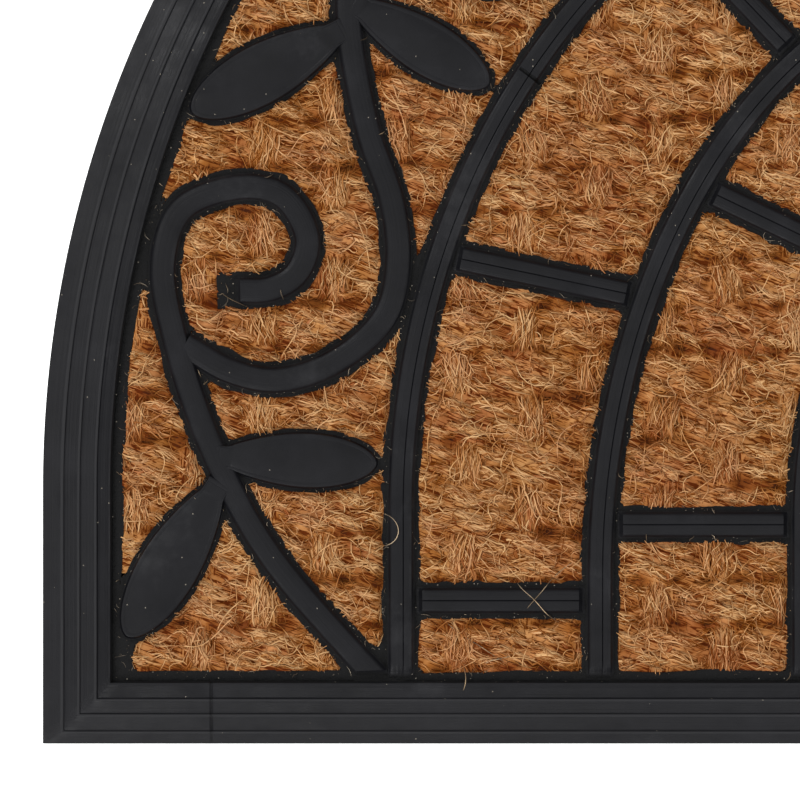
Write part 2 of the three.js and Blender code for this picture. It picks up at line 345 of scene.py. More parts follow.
def border_loops(side, front, height):
    """Loops round the mat: straight front, straight sides, then half an ellipse, drawn in by side and front.

    Every loop point is shares of the half width, of the straight side and of the crown's rise.
    """
    turn = np.linspace(0, np.pi, CROWN_STEPS)
    level = np.linspace(0, 1, SIDE_STEPS, endpoint=False)
    across = np.concatenate(
        [np.linspace(-1, 1, FRONT_STEPS, endpoint=False), 1 + 0 * level, np.cos(turn), -1 + 0 * level[1:]]
    )
    up = np.concatenate([np.zeros(FRONT_STEPS), level, 1 + 0 * turn, 1 - level[1:]])
    rise = np.concatenate([np.zeros(FRONT_STEPS + SIDE_STEPS), np.sin(turn), 0 * level[1:]])
    x = across * (WIDTH / 2 - side)
    y = front + up * (SPRING - front) + rise * (DEPTH - SPRING - side)
    return np.stack(np.broadcast_arrays(x, y, height), axis=-1)


rib_sides = RIBS[:, [0]] + (RIBS[:, [1]] - RIBS[:, [0]]) * RIB_SHARES
rib_fronts = RIBS[:, [2]] + (RIBS[:, [3]] - RIBS[:, [2]]) * RIB_SHARES
rib_heights = RIBS[:, [4]] + (RIBS[:, [5]] - RIBS[:, [4]]) * RIB_SHARES + RIB_SWELL
border_rows = np.concatenate(
    [[[0, 0, 0]], np.stack([rib_sides.ravel(), rib_fronts.ravel(), rib_heights.ravel()], axis=1), LIP]
)[:, :, None]
border_count = border_loops(0, 0, 0).shape[0]
wander = np.zeros((len(border_rows), border_count))
lip_x, lip_y = border_loops(*LIP_EDGE)[:, :2].T
wander[LIP_EDGE_ROWS] = ragged(border_count, LIP_RAGGED) + drift(lip_x, lip_y, *LIP_DRIFT)
border = border_loops(border_rows[:, 0] + wander, border_rows[:, 1] + wander, border_rows[:, 2])
# The backing's two faces are fans of triangles round a point each
middle = np.array([[0, DEPTH / 3, 0], [0, DEPTH / 3, BACKING_TOP]])
loop = np.arange(border_count)
following = np.roll(loop, -1)
last = (len(border_rows) - 1) * border_count
under_middle = border[..., 0].size
underside = np.stack([np.full(border_count, under_middle), following, loop], axis=1)
backing = np.stack([np.full(border_count, under_middle + 1), last + loop, last + following], axis=1)
border_torn = np.zeros(border.shape[:2])
border_torn[-len(LIP) :] = 1
# Painted sheen on the ribs, lightest as a painted highlight along each bead, and weaker on the inner rib
rib_sheen = np.tile(RIB_PAINTED_SHEEN, (len(RIBS), 1))
rib_sheen[-1] *= INNER_RIB_PAINTED_SHEEN
border_scuffed = np.zeros(border.shape[:2])
border_scuffed[1 : 1 + rib_sheen.size] = rib_sheen.reshape(-1, 1)
border_run = np.zeros((*border.shape[:2], 3))
border_run[..., 0] = loop * LOOP_STEP
border_run[..., 1] = border_rows[:, 0]
rubber_piece(
    "ribbed_border",
    np.concatenate([border.reshape(-1, 3), middle]),
    [grid_quads(len(border_rows), border_count, wrap=True), underside, backing],
    run=np.concatenate([border_run.reshape(-1, 3), np.zeros((2, 3))]) * MM,
    torn=np.concatenate([border_torn.ravel(), np.zeros(2)]),
    scuffed=np.concatenate([border_scuffed.ravel(), np.zeros(2)]),
)

# Arches
# Three raised rubber bars that stand on the lip and arch over, one inside another. Each has a fine groove
# along its top and a thin, torn flash along both sides, where rubber crept out over the coir.
# Arches from the outer one inwards, to the bar's centre line: half width, height where it starts to curve
# and height of its crown
ARCHES = ((191.2, 72.1, 291.0), (130.6, 51.4, 237.5), (68.4, 67.8, 175.7))
ARCH_FOOT = 20.0  # where the arches start, on the border's lip
ARCH_POINTS = 400  # worked out along an arch's curve, before they are spaced evenly
FLASH_HALF = 5.7
FLASH_RAGGED = 0.2
TORN_FROM = 4.3  # from here outwards a bar's surface is torn flash
TORN_BELOW = FLASH_TOP + 0.3  # and so is all that lies lower than this
PROUD = 0.02  # a bar's lowered part stays this much above the flash
BAR_STEP = 1.8
# Half of a section's raised part: distance from its middle and height
BAR_SIDE = [(4.5, 5.8), (4.25, 6.05), (3.65, 7.5), (3.3, 8.15), (2.95, 8.42), (2.5, 8.52)]
GROOVE_ACROSS = -0.7  # the groove lies a little inside the middle
GROOVE = [(0.4, 8.7), (0.2, 8.64), (0.0, 8.35), (-0.2, 8.64), (-0.4, 8.7)]
# Half of a section's flash, from its edge inwards
FLASH_SIDE = [(FLASH_HALF, FLASH_UNDER), (FLASH_HALF, 5.65), (FLASH_HALF - 0.5, 5.82)]
PAD_EDGE = 1.5  # radius of the circles in the row that presses on the coir at a free end
PAD_CIRCLES = 9
FOOT_BEVEL = 0.7
FOOT_BLEND = 14.0  # a slanting bar's sections turn square to it over this height above the lip

pressing = []  # for each bar or leaf, circles that press on the coir: x, y and radius


def run_along(line):
    """How far along a line each of its points is."""
    return np.concatenate([[0], np.cumsum(np.linalg.norm(np.diff(line, axis=0), axis=1))])


def at_run(stops, run, values):
    """Both columns of the values, interpolated at lengths along a line."""
    return np.stack([np.interp(stops, run, values[:, axis]) for axis in (0, 1)], axis=-1)


def evenly(line, step):
    """Points along a line at even steps: the line's length is shared out, then each axis is interpolated."""
    run = run_along(line)
    return at_run(np.linspace(0, run[-1], int(np.ceil(run[-1] / step)) + 1), run, line)


def arch_line(half_width, spring, crown, foot):
    """Left leg, half ellipse and right leg: x = -a cos(turn), y = spring + rise sin(turn)."""
    turn = np.linspace(0, np.pi, ARCH_POINTS)
    ellipse = np.stack([-half_width * np.cos(turn), spring + (crown - spring) * np.sin(turn)], axis=1)
    return np.concatenate([[[-half_width, foot]], ellipse, [[half_width, foot]]])


def left_of(path):
    """Unit vectors to the left of a path: its direction at each point, turned a quarter."""
    along = np.gradient(path, axis=0)
    along /= np.linalg.norm(along, axis=1, keepdims=True)
    return np.stack([-along[:, 1], along[:, 0]], axis=1)


def mitred(path):
    """Left of a path, but level at a foot on the lip, where it is longer so that the bar stays as wide."""
    aside = left_of(path)
    square = ((path[:, 1] - LIP_START) / FOOT_BLEND).clip(0, 1)[:, None]
    level = np.where(square < 1, 1 / np.where(square < 1, aside[:, :1], 1), 0) * (1, 0)
    return aside * square + level * (1 - square)


def mirrored(side):
    """The other half of a section, from its middle outwards."""
    return [(-across, height) for across, height in reversed(side)]


def with_flash(raised):
    """A bar's whole section from left to right: flash edge, raised part and flash edge."""
    return np.array(FLASH_SIDE + raised + mirrored(FLASH_SIDE))


def press_under(path, free_end):
    """A bar presses as wide as its flash. At a free end it stops square, under a row of smaller circles."""
    if not free_end:
        pressing.append(np.column_stack([path, np.full(len(path), FLASH_HALF)]))
        return
    short = path[: -int(np.ceil(FLASH_HALF / BAR_STEP))]
    across = np.linspace(PAD_EDGE - FLASH_HALF, FLASH_HALF - PAD_EDGE, PAD_CIRCLES)[:, None]
    end = path[[-2]] + left_of(path)[[-2]] * across
    radii = np.concatenate([np.full(len(short), FLASH_HALF), np.full(len(end), PAD_EDGE)])
    pressing.append(np.column_stack([np.concatenate([short, end]), radii]))


def make_bar(name, path, section, full=None, free_end=False):
    """A section carried along a path: path point + left * across, at the section's height.

    `full` is the share of the raised height along the path, and the flash's edge wanders. The raised part
    ends in a bevel where it meets the lip of the front border.
    """
    count = len(path)
    across = np.tile(section[:, 0], (count, 1))
    for edge in (slice(0, 2), slice(-2, None)):
        across[:, edge] += np.sign(across[:, edge]) * ragged(count, FLASH_RAGGED)[:, None]
    flat = path[:, None] + mitred(path)[:, None] * across[..., None]
    height = np.tile(section[:, 1], (count, 1))
    share = ((flat[..., 1] - LIP_START) / FOOT_BEVEL).clip(0, 1)
    if full is not None:
        share = share * full[:, None]
    height = np.minimum(height, FLASH_TOP + PROUD + (height - FLASH_TOP) * share)
    points = np.concatenate([flat, height[..., None]], axis=-1)
    ring = np.arange(len(section))
    caps = [ring[::-1][None], ring[None] + (count - 1) * len(section)]
    run = np.zeros_like(points)
    run[..., 0] = np.arange(count)[:, None] * BAR_STEP
    run[..., 1] = across + path[0, 0]
    torn = ((np.abs(section[:, 0]) > TORN_FROM) | (height < TORN_BELOW)).astype(float)
    press_under(path, free_end)
    faces = [grid_quads(count, len(section), wrap=True), *caps]
    rubber_piece(name, points, faces, run=run.reshape(-1, 3) * MM, torn=torn.ravel())


arch_groove = [(GROOVE_ACROSS + across, height) for across, height in GROOVE]
arch_section = with_flash(BAR_SIDE + arch_groove + mirrored(BAR_SIDE))
for number, arch in enumerate(ARCHES, 1):
    make_bar(f"arch_{number}", evenly(arch_line(*arch, ARCH_FOOT), BAR_STEP), arch_section)

# Bars between the bricks
# Short rubber bars join one arch to the next, as the joints between bricks. The flash runs through to both
# arches, and the raised part ends in small bevels just before them.
# Each bar of the left half: the arch that it leaves, and its outer and inner end's height
BRICK_JOINTS = ((0, 43.5, 43.5), (0, 148.7, 135.6), (0, 250.9, 208.6), (1, 66.6, 66.6), (1, 169.6, 144.4))
BRICK_END = 5.0  # from an arch's centre line to the foot of the bar's bevelled end
BRICK_BEVEL = 1.7
BRICK_STEP = 1.1
BRICK_SUNK = 0.05  # a bar is this much lower than the arches, whose tops run on over its ends


def on_arch(arch, height):
    """Point of an arch's left half at a height: x = -a sqrt(1 - climb squared) above the spring."""
    half_width, spring, crown = ARCHES[arch]
    climb = max(height - spring, 0) / (crown - spring)
    return np.array([-half_width * np.sqrt(1 - climb**2), height])


brick_lines = [np.array([on_arch(a, outer), on_arch(a + 1, inner)]) for a, outer, inner in BRICK_JOINTS]
brick_lines += [line * (-1, 1) for line in brick_lines]
brick_lines += [np.array([[0, ARCHES[a][2]], [0, ARCHES[a + 1][2]]]) for a in (0, 1)]
brick_section = with_flash(BAR_SIDE + GROOVE + mirrored(BAR_SIDE)) - (0, BRICK_SUNK)
for number, line in enumerate(brick_lines, 1):
    path = evenly(line, BRICK_STEP)
    ends = np.minimum(np.arange(len(path)), np.arange(len(path))[::-1]) * BRICK_STEP
    full = np.clip((ends - BRICK_END) / BRICK_BEVEL, 0, 1)
    make_bar(f"brick_bar_{number}", path, brick_section, full=full)

# Vine
# A rubber vine grows from the foot of the outer arch on each side and climbs to the crown. Each stem curls
# into a scroll, and the branch that leaves it becomes the next stem, all as smooth, slightly domed bars.
VINE_LINE = (236.5, 75.0, 336.4)  # the middle of the ring that the vine fills, given as an arch
VINE_LINE_STEP = 0.5
VINE_UNITS = 3  # on each side of the mat
VINE_PITCH = 138.5
FIRST_LEAVES = 82.8  # how far up the middle line the first pair of leaves grows
# Points along the middle line from a pair of leaves, and outwards across it
ROOT = ((-67.0, -42.0), (-61.4, -36.6), (-54.5, -30.1), (-24.1, -4.5))
STEM = (
    *((5.7, 12.2), (33.2, 25.7), (56.2, 35.1), (71.7, 33.5), (82.5, 17.7)),
    *((83.6, 5.2), (73.4, -5.7), (61.9, -5.1), (55.5, 1.8), (53.3, 10.2)),
)
BRANCH = (
    *((35.1, 24.0), (29.5, 9.3), (28.6, -5.7), (37.5, -22.7)),
    *((55.0, -34.4), (74.0, -34.2), (93.6, -26.4), (113.1, -10.7)),
)
LAST_BRANCH_ROWS = 7  # the last branch runs this far, then meets its mirror image on the axis
BRANCH_SUNK = 0.05  # a branch leaves its stem this share lower, so that the stem's top runs on over it
BRANCH_RISE = 12.0  # and has risen to its full height after this length
MEETING_ACROSS = -15.0  # where the last branch meets its mirror image, across the middle line
RIGHT_SUNK = 0.01  # the right half's bars are a hair lower, so that no two tops meet in one plane
KNOT_STEPS = 40  # points from one knot of a line to the next
SCROLL_PAD = 7.2  # flash beyond the raised end of a scroll
SCROLL_BEVEL = 1.2
VINE_SIDE = [(4.6, 5.8), (4.35, 6.05), (3.8, 7.4), (3.4, 8.1), (2.9, 8.42), (2.0, 8.6), (0.8, 8.7)]

vine_line = evenly(arch_line(*VINE_LINE, 0), VINE_LINE_STEP)
vine_run = run_along(vine_line)
vine_outwards = left_of(vine_line)


def on_vine_ring(along, across):
    """Point a length along the middle line and a distance outwards across it."""
    return at_run(along, vine_run, vine_line) + across * at_run(along, vine_run, vine_outwards)


def smooth_line(knots):
    """Centripetal Catmull-Rom curve through the knots.

    Each stretch is a cubic. Its slope at a knot blends the chords on both sides, each over the square root
    of its length, and the line is carried straight on beyond its two ends.
    """
    before = 2 * knots[:1] - knots[1:2]
    beyond = 2 * knots[-1:] - knots[-2:-1]
    line = np.concatenate([before, knots, beyond])
    gap = np.sqrt(np.linalg.norm(np.diff(line, axis=0), axis=1))[:, None]
    chord = np.diff(line, axis=0)
    slope = chord[:-1] / gap[:-1] - (chord[:-1] + chord[1:]) / (gap[:-1] + gap[1:]) + chord[1:] / gap[1:]
    start, end = line[1:-2], line[2:-1]
    leaving, arriving = slope[:-1] * gap[1:-1], slope[1:] * gap[1:-1]
    t = np.linspace(0, 1, KNOT_STEPS, endpoint=False)[None, :, None]
    start, end, leaving, arriving = (part[:, None] for part in (start, end, leaving, arriving))
    cubic = (
        start
        + leaving * t
        + (3 * (end - start) - 2 * leaving - arriving) * t**2
        + (2 * (start - end) + leaving + arriving) * t**3
    )
    return np.concatenate([cubic.reshape(-1, 2), knots[-1:]])


def vine_path(*stretches):
    """One smooth line through stretches of knots, each given from its own start along the middle line."""
    knots = [on_vine_ring(start + along, across) for start, rows in stretches for along, across in rows]
    return smooth_line(np.array(knots))


vine_section = with_flash(VINE_SIDE + mirrored(VINE_SIDE))
for number in range(1, VINE_UNITS + 2):
    unit_start = FIRST_LEAVES + (number - 1) * VINE_PITCH
    branch_start = unit_start - VINE_PITCH
    if number == 1:
        line = vine_path((unit_start, ROOT + STEM))
    elif number <= VINE_UNITS:
        line = vine_path((branch_start, BRANCH), (unit_start, STEM))
    else:
        to_axis = ((vine_run[-1] / 2 - branch_start, MEETING_ACROSS),)
        line = vine_path((branch_start, BRANCH[:LAST_BRANCH_ROWS] + to_axis))
    scroll = number <= VINE_UNITS
    if scroll:
        onwards = line[-1] - line[-2]
        line = np.concatenate([line, [line[-1] + onwards * SCROLL_PAD / np.linalg.norm(onwards)]])
    path = evenly(line, BAR_STEP)
    run = np.arange(len(path)) * BAR_STEP
    full = np.ones(len(path))
    if number > 1:
        full -= BRANCH_SUNK * (1 - run / BRANCH_RISE).clip(0, 1)
    if scroll:
        full *= ((run[-1] - run - SCROLL_PAD) / SCROLL_BEVEL + 1).clip(0, 1)
    make_bar(f"vine_{number}_left", path, vine_section, full, free_end=scroll)
    right_section = vine_section - (0, RIGHT_SUNK)
    make_bar(f"vine_{number}_right", path * (-1, 1), right_section, full, free_end=scroll)

# Leaves
# Two flat rubber leaves grow from the foot of each stem. Each is an almond-shaped plate with a bevelled edge,
# a faint rim line inside it and the same thin flash round it.
# Each unit's pair, from the front upwards: foot on the stem (along, across), heading from the middle line's
# direction, length and width with the flash
LEAF_PAIRS = (
    ((4.0, 6.5, -90, 46.0, 20.0), (-7.6, 12.3, 149, 51.6, 21.6)),
    ((5.8, 6.5, -90, 46.0, 20.0), (-5.9, 11.2, 147, 50.0, 21.6)),
    ((4.0, 6.5, -90, 46.0, 20.0), (-5.9, 11.2, 148, 51.0, 21.6)),
)
LEAF_TOP = 8.4
LEAF_ROUNDNESS = 0.56  # 0.5 is an ellipse, and 1 is a parabola with sharp tips
LEAF_NECK = 0.42  # the foot's share of the full width, so that the leaf runs broad into its stem
LEAF_SUNK = 7.0  # how far the foot reaches on under the stem
LEAF_FOOT_RISE = 0.28  # the leaf's top rises to its stem's
LEAF_STEPS = 44  # points along each side of a leaf
MIDRIB_POINTS = 40
# Loops of a leaf from its foot to its flat top: inset from the flash's edge, and height
LEAF_LOOPS = np.array(
    [
        [0.0, FLASH_UNDER],
        [0.0, 5.7],
        [0.5, 5.82],
        [1.1, 5.85],
        [1.3, 6.1],
        [1.7, 7.8],
        [1.95, LEAF_TOP - 0.15],
        [2.35, LEAF_TOP],
        [3.1, LEAF_TOP],
        [3.25, LEAF_TOP - 0.05],
        [3.4, LEAF_TOP],
    ]
)
RAGGED_LOOPS = 2  # the first loops, at the flash's edge, are ragged
TORN_LOOPS = 4  # and the first ones up to the raised part are torn flash


def leaf_points(foot, heading, length, width):
    """Loops of an almond: half width = width / 2 * (4 s (1 - s)) ^ roundness, for s from foot to tip.

    Towards its foot the leaf gets no narrower than its neck.
    """
    turn = np.linspace(0, 2 * np.pi, 2 * LEAF_STEPS, endpoint=False)
    share = (1 - np.cos(turn)) / 2
    fullness = (4 * share * (1 - share)) ** LEAF_ROUNDNESS
    fullness = np.sign(np.sin(turn)) * np.where(share < 0.5, np.maximum(fullness, LEAF_NECK), fullness)
    inset = LEAF_LOOPS[:, :1] + 0 * share
    inset[:RAGGED_LOOPS] += ragged(2 * LEAF_STEPS, FLASH_RAGGED / 2)
    along = inset + (length - 2 * inset) * share - LEAF_SUNK * (1 - 2 * share).clip(0, 1) ** 3
    across = -fullness * (width / 2 - inset)
    direction = np.array([np.cos(heading), np.sin(heading)])
    left = np.array([-direction[1], direction[0]])
    flat = foot + along[..., None] * direction + across[..., None] * left
    climb = (LEAF_LOOPS[:, 1:] - FLASH_TOP).clip(0, None) / (LEAF_TOP - FLASH_TOP)
    height = LEAF_LOOPS[:, 1:] + LEAF_FOOT_RISE * climb * (1 - 2 * share).clip(0, 1)
    return np.concatenate([flat, height[..., None]], axis=-1)


leaf_ring = np.arange(2 * LEAF_STEPS)[None]
leaf_faces = [
    grid_quads(len(LEAF_LOOPS), 2 * LEAF_STEPS, wrap=True),
    leaf_ring[:, ::-1],
    leaf_ring + (len(LEAF_LOOPS) - 1) * 2 * LEAF_STEPS,
]
leaf_torn = np.zeros((len(LEAF_LOOPS), 2 * LEAF_STEPS))
leaf_torn[:TORN_LOOPS] = 1
leaf_run = np.zeros((leaf_torn.size, 3))
for unit in range(VINE_UNITS):
    for number, (along, across, turned, length, width) in enumerate(LEAF_PAIRS[unit], 1):
        start = FIRST_LEAVES + unit * VINE_PITCH + along
        ahead = on_vine_ring(start + 1, 0) - on_vine_ring(start - 1, 0)
        heading = np.arctan2(ahead[1], ahead[0]) + np.radians(turned)
        foot = on_vine_ring(start, across)
        for side, mirror in (("left", 1), ("right", -1)):
            place = foot * (mirror, 1)
            tip = heading if mirror == 1 else np.pi - heading
            points = leaf_points(place, tip, length, width)
            name = f"leaf_{unit + 1}_{number}_{side}"
            rubber_piece(name, points, leaf_faces, run=leaf_run, torn=leaf_torn.ravel())
            along_midrib = np.linspace(0, 1, MIDRIB_POINTS)[:, None]
            midrib = place + length * along_midrib * (np.cos(tip), np.sin(tip))
            edge = points[1, :, :2]
            reach = np.linalg.norm(midrib[:, None] - edge, axis=2).min(axis=1)
            pressing.append(np.column_stack([midrib, reach]))

# Webs
# Where two bars meet at a sharp angle, or a bar meets the lip, the same thin flash fills the corner. It is
# rubber of the same moulding, which crept in there over the coir.
MAP_STEP = 0.5
MAP_REACH = 15.0
WEB_FILL = 0.65  # how far the rubber fills a corner
# Corners that it fills further, at the foot of each root and under the first leaf's tip: place out from the
# middle and up, how far that spreads, and how much further it fills
FILLED_CORNERS = ((196.4, 29.0, 9.0, 1.3), (275.5, 27.0, 7.0, 0.9))
# A strip of flash from the first outer leaf's tip to the front lip: place out from the middle, heights of its
# two ends, and half its width
TIP_STRIP = (273.7, 20.0, 36.0, 0.95)
WEB_TOP = 5.86
WEB_UNDER_BARS = 1.0
WEB_LEAST_FILL = 0.15  # a web is made only where it fills a corner by more than this
LEAST_STEEPNESS = 0.2  # of the map, squared, where a web's edge points are drawn back to the edge
TINY = 1e-6
MAP_INSIDE = 1.001  # keeps places inside the map's last cell


def border_clearance(x, y):
    """Distance inwards from the lip's drifting edge: to the front, or to the sides and crown.

    Off the crown it is (1 - size) / steepness, where size is how large the half ellipse through the place is.
    """
    half_width, rise = WIDTH / 2 - LIP_EDGE[0], DEPTH - SPRING - LIP_EDGE[0]
    up = np.maximum(y - SPRING, 0)
    size = np.sqrt((x / half_width) ** 2 + (up / rise) ** 2)
    steepness = np.sqrt((x / half_width**2) ** 2 + (up / rise**2) ** 2) / np.maximum(size, TINY)
    from_side = (1 - size) / np.maximum(steepness, TINY)
    return np.minimum(from_side, y - LIP_EDGE[1]) - drift(x, y, *LIP_DRIFT)


def rubber_maps():
    """Distance to the nearest rubber edge at every map point, negative under the rubber, and a filled one.

    Each bar's distance comes from its pressing circles. The filled one blends all bars and the lip as
    -fill * log(sum of exp(-distance / fill)), so that a web fills the corners between two of them.
    """
    across = np.arange(-WIDTH / 2, WIDTH / 2 + MAP_STEP, MAP_STEP)
    up = np.arange(0, DEPTH + MAP_STEP, MAP_STEP)
    x, y = np.meshgrid(across, up, indexing="ij")
    fill = np.full(x.shape, WEB_FILL)
    for corner_x, corner_y, spread, further in FILLED_CORNERS:
        from_corner = np.hypot(np.abs(x) - corner_x, y - corner_y) / spread
        fill += further * np.exp(-(from_corner**2))
    nearest = border_clearance(x, y).clip(-MAP_REACH, MAP_REACH)
    nearness = np.exp(-nearest / fill)
    reach = int(MAP_REACH / MAP_STEP)
    window = np.arange(-reach, reach + 1)
    for circles in pressing:
        clear = np.full(x.shape, MAP_REACH)
        circle_x, circle_y, radius = (values[:, None, None] for values in circles.T)
        column = np.round((circle_x + WIDTH / 2) / MAP_STEP).astype(int) + window[:, None]
        row = np.round(circle_y / MAP_STEP).astype(int) + window
        column, row = np.broadcast_arrays(column.clip(0, x.shape[0] - 1), row.clip(0, x.shape[1] - 1))
        away = np.hypot(column * MAP_STEP - WIDTH / 2 - circle_x, row * MAP_STEP - circle_y)
        np.minimum.at(clear, (column, row), away - radius)
        nearest = np.minimum(nearest, clear)
        nearness += np.exp(-clear / fill)
    return x, y, nearest, -fill * np.log(nearness)


strip_out, strip_foot, strip_head, strip_half = TIP_STRIP
strip_heights = np.arange(strip_foot, strip_head, MAP_STEP)
for side in (-1, 1):
    strip = np.full((len(strip_heights), 3), (side * strip_out, 0, strip_half))
    strip[:, 1] = strip_heights
    pressing.append(strip)
map_x, map_y, nearest_rubber, filled_rubber = rubber_maps()


def clearance(x, y):
    """Distance from the nearest rubber edge or web, blended between the map's points."""
    u = ((x + WIDTH / 2) / MAP_STEP).clip(0, map_x.shape[0] - MAP_INSIDE)
    v = (y / MAP_STEP).clip(0, map_x.shape[1] - MAP_INSIDE)
    i, j = u.astype(int), v.astype(int)
    return between_corners(filled_rubber, i, j, u - i, v - j)


thin = (filled_rubber < 0) & (nearest_rubber > -WEB_UNDER_BARS)
thin &= nearest_rubber - filled_rubber > WEB_LEAST_FILL
web_cells = thin[:-1, :-1] | thin[1:, 1:]
web_columns, web_rows = np.nonzero(web_cells)
corners = np.stack(
    [
        np.ravel_multi_index((web_columns + right, web_rows + up), map_x.shape)
        for right, up in ((0, 0), (1, 0), (1, 1), (0, 1))
    ],
    axis=1,
)
used, web_quads = np.unique(corners, return_inverse=True)
slope_x, slope_y = np.gradient(filled_rubber, MAP_STEP)
used_x, used_y, used_filled, slope_x, slope_y = (
    values.ravel()[used] for values in (map_x, map_y, filled_rubber, slope_x, slope_y)
)
steep = np.maximum(slope_x**2 + slope_y**2, LEAST_STEEPNESS)
beyond = used_filled.clip(0, None)
web_points = np.column_stack(
    [
        used_x - beyond * slope_x / steep,
        used_y - beyond * slope_y / steep,
        np.where(beyond > 0, FLASH_UNDER, WEB_TOP),
    ]
)
web_faces = [web_quads.reshape(-1, 4)]
rubber_piece("webs", web_points, web_faces, run=np.zeros_like(web_points), torn=np.ones(len(used)))

# Coir weave
# One panel of plain weave in coconut fibre. Thick yarns, each laid up from two plies like a rope, run across
# the mat in pairs, over and under flat bundles that run up it. The rubber was moulded over it, so the bars
# and the lip press it flat.
PRESSED_TOP = 4.9
HOLE_FLOOR = 3.4
BUNDLE_PITCH = 20.07
BUNDLE_START = -152.6
BUNDLE_HALF = 5.0
BUNDLE_RISE = 1.3
PAIR_PITCH = 13.99
PAIR_START = 182.7
YARN_OFFSET = 3.35  # of each of the two yarns from the middle of its pair
PLY_RADIUS = 1.95
PLY_OFFSET = 1.6  # of each of the two plies from the middle of its yarn
TWIST_LENGTH = 24.0
FLATTENED = 0.8  # the yarns are pressed flat to this share of their thickness
MIDDLE_HEIGHT = 5.3
SWING = 1.0  # how far yarns and bundles rise and dip as they cross
HELD_WIDTH = 2.2  # how far from the rubber the coir takes to rise to its full height
WEAVE_STEP = 2.1
YARN_PHASES = np.random.default_rng(16).uniform(0, 2 * np.pi, 80)
TWIST_DRIFT = (24, 1.1, 15)
YARNS_APART = 40.0  # each yarn reads its twist's drift this far from the last one
DENT_DEPTH = 0.35  # of the dent along a bundle's middle
DENT_HALF = 0.12  # its half width, as a share of the bundle's
# Slow and faster drift that pull the weave across and up the mat: size, amount and seed
PULLS_ACROSS = ((30, 1.5, 11), (9, 0.5, 12))
PULLS_UP = ((26, 1.3, 13), (8, 0.45, 14))
HOLE_SIZES = np.random.default_rng(18).uniform(-0.8, 4.2, 97)  # a hole below zero is closed
HOLE_STRETCH = 1.7  # the holes are this much longer across the mat than up it
HOLE_STEEPNESS = 1.3  # over 1, so that the middle of a hole is all painted shade
LEAST_HOLE = 0.1


def pulled(x, y):
    """How far the weave is pulled out of square at a place: a slow and a faster drift along each axis."""
    return drifts(x, y, PULLS_ACROSS), drifts(x, y, PULLS_UP)


def pressed(x, y, height, slack=0.0):
    """Height once the rubber has pressed on it: from flat under the rubber it rises in a rounded edge."""
    share = ((clearance(x, y) + slack) / HELD_WIDTH).clip(0, 1)
    return PRESSED_TOP + (height - PRESSED_TOP) * (1 - (1 - share) ** 2)


def yarn_at(v):
    """The yarn nearest to a height up the weave: its number counted down from the top, and its own height."""
    pair = np.round((PAIR_START - v) / PAIR_PITCH)
    side = np.where(v > PAIR_START - pair * PAIR_PITCH, 1, -1)
    return (2 * pair + (side < 0)).astype(int), PAIR_START - pair * PAIR_PITCH + side * YARN_OFFSET


def yarn_turn(u, yarn):
    """How far the plies have turned about each other: a full turn per twist length, with a slow drift."""
    phase = YARN_PHASES[yarn % len(YARN_PHASES)]
    return 2 * np.pi * u / TWIST_LENGTH + phase + drift(u, yarn * YARNS_APART, *TWIST_DRIFT)


def yarn_middle(u, yarn):
    """A yarn rises and dips in a cosine, and dips where a bundle crosses over its pair."""
    return MIDDLE_HEIGHT - SWING * np.cos(np.pi * ((u - BUNDLE_START) / BUNDLE_PITCH + yarn // 2))


def weave(x, y):
    """Heights of the yarns and of the bundles at a place.

    A ply is a round rod that turns about its yarn's middle, so a yarn's top is the higher of its plies' arcs.
    A bundle is a flat arc with a dent between its strands, and rises where the yarns dip.
    """
    pull = pulled(x, y)
    u, v = x + pull[0], y + pull[1]
    yarn, yarn_v = yarn_at(v)
    turn = yarn_turn(u, yarn)
    arcs = [
        PLY_OFFSET * np.cos(angle)
        + np.sqrt(np.maximum(PLY_RADIUS**2 - (v - yarn_v + PLY_OFFSET * np.sin(angle)) ** 2, 0))
        for angle in (turn, turn + np.pi)
    ]
    yarns = yarn_middle(u, yarn) + FLATTENED * np.maximum(*arcs)
    bundle = np.round((u - BUNDLE_START) / BUNDLE_PITCH)
    across = (u - BUNDLE_START - bundle * BUNDLE_PITCH) / BUNDLE_HALF
    dome = BUNDLE_RISE * (1 - np.abs(across) ** 3) - DENT_DEPTH * np.exp(-((across / DENT_HALF) ** 2))
    bundles = MIDDLE_HEIGHT + dome + SWING * np.cos(np.pi * ((PAIR_START - v) / PAIR_PITCH + bundle))
    bundles = np.where(np.abs(across) < 1, bundles, HOLE_FLOOR)
    return np.maximum(yarns, HOLE_FLOOR), np.maximum(bundles, HOLE_FLOOR)


RIM_SHADE = 0.28  # painted shade: how much darker in tone a ribbon's edges are, like a round fibre's sides
RIM_START = 0.5  # the shade starts this share of the way out from its middle
DARK_TONE = 0.14  # tone of the painted shade in the gaps between fibres. Only the painted shade in the weave's holes is darker
STRAND_EDGE = (0.4, 0.52)  # a strand's noise goes from gap to fibre between these values
PARTING = (-0.7, 0.3)  # change of tone where strands are parted fully: painted shade in the gap, and lighter on the fibre
# Colours of the panel by tone. Those below the gaps' tone are painted shade in the holes and low parts of the
# weave, and the whole panel is darker than the fibres on it, as painted shade under them
PANEL_GOLD = [
    (0.0, (0.026, 0.008, 0.003)),
    (DARK_TONE, (0.070, 0.014, 0.001)),
    (0.5, (0.22, 0.077, 0.015)),
    (1.0, (0.46, 0.238, 0.09)),
]
PANEL_RUST = [
    (0.0, (0.026, 0.007, 0.004)),
    (DARK_TONE, (0.065, 0.010, 0.001)),
    (0.5, (0.17, 0.044, 0.011)),
    (1.0, (0.36, 0.143, 0.054)),
]
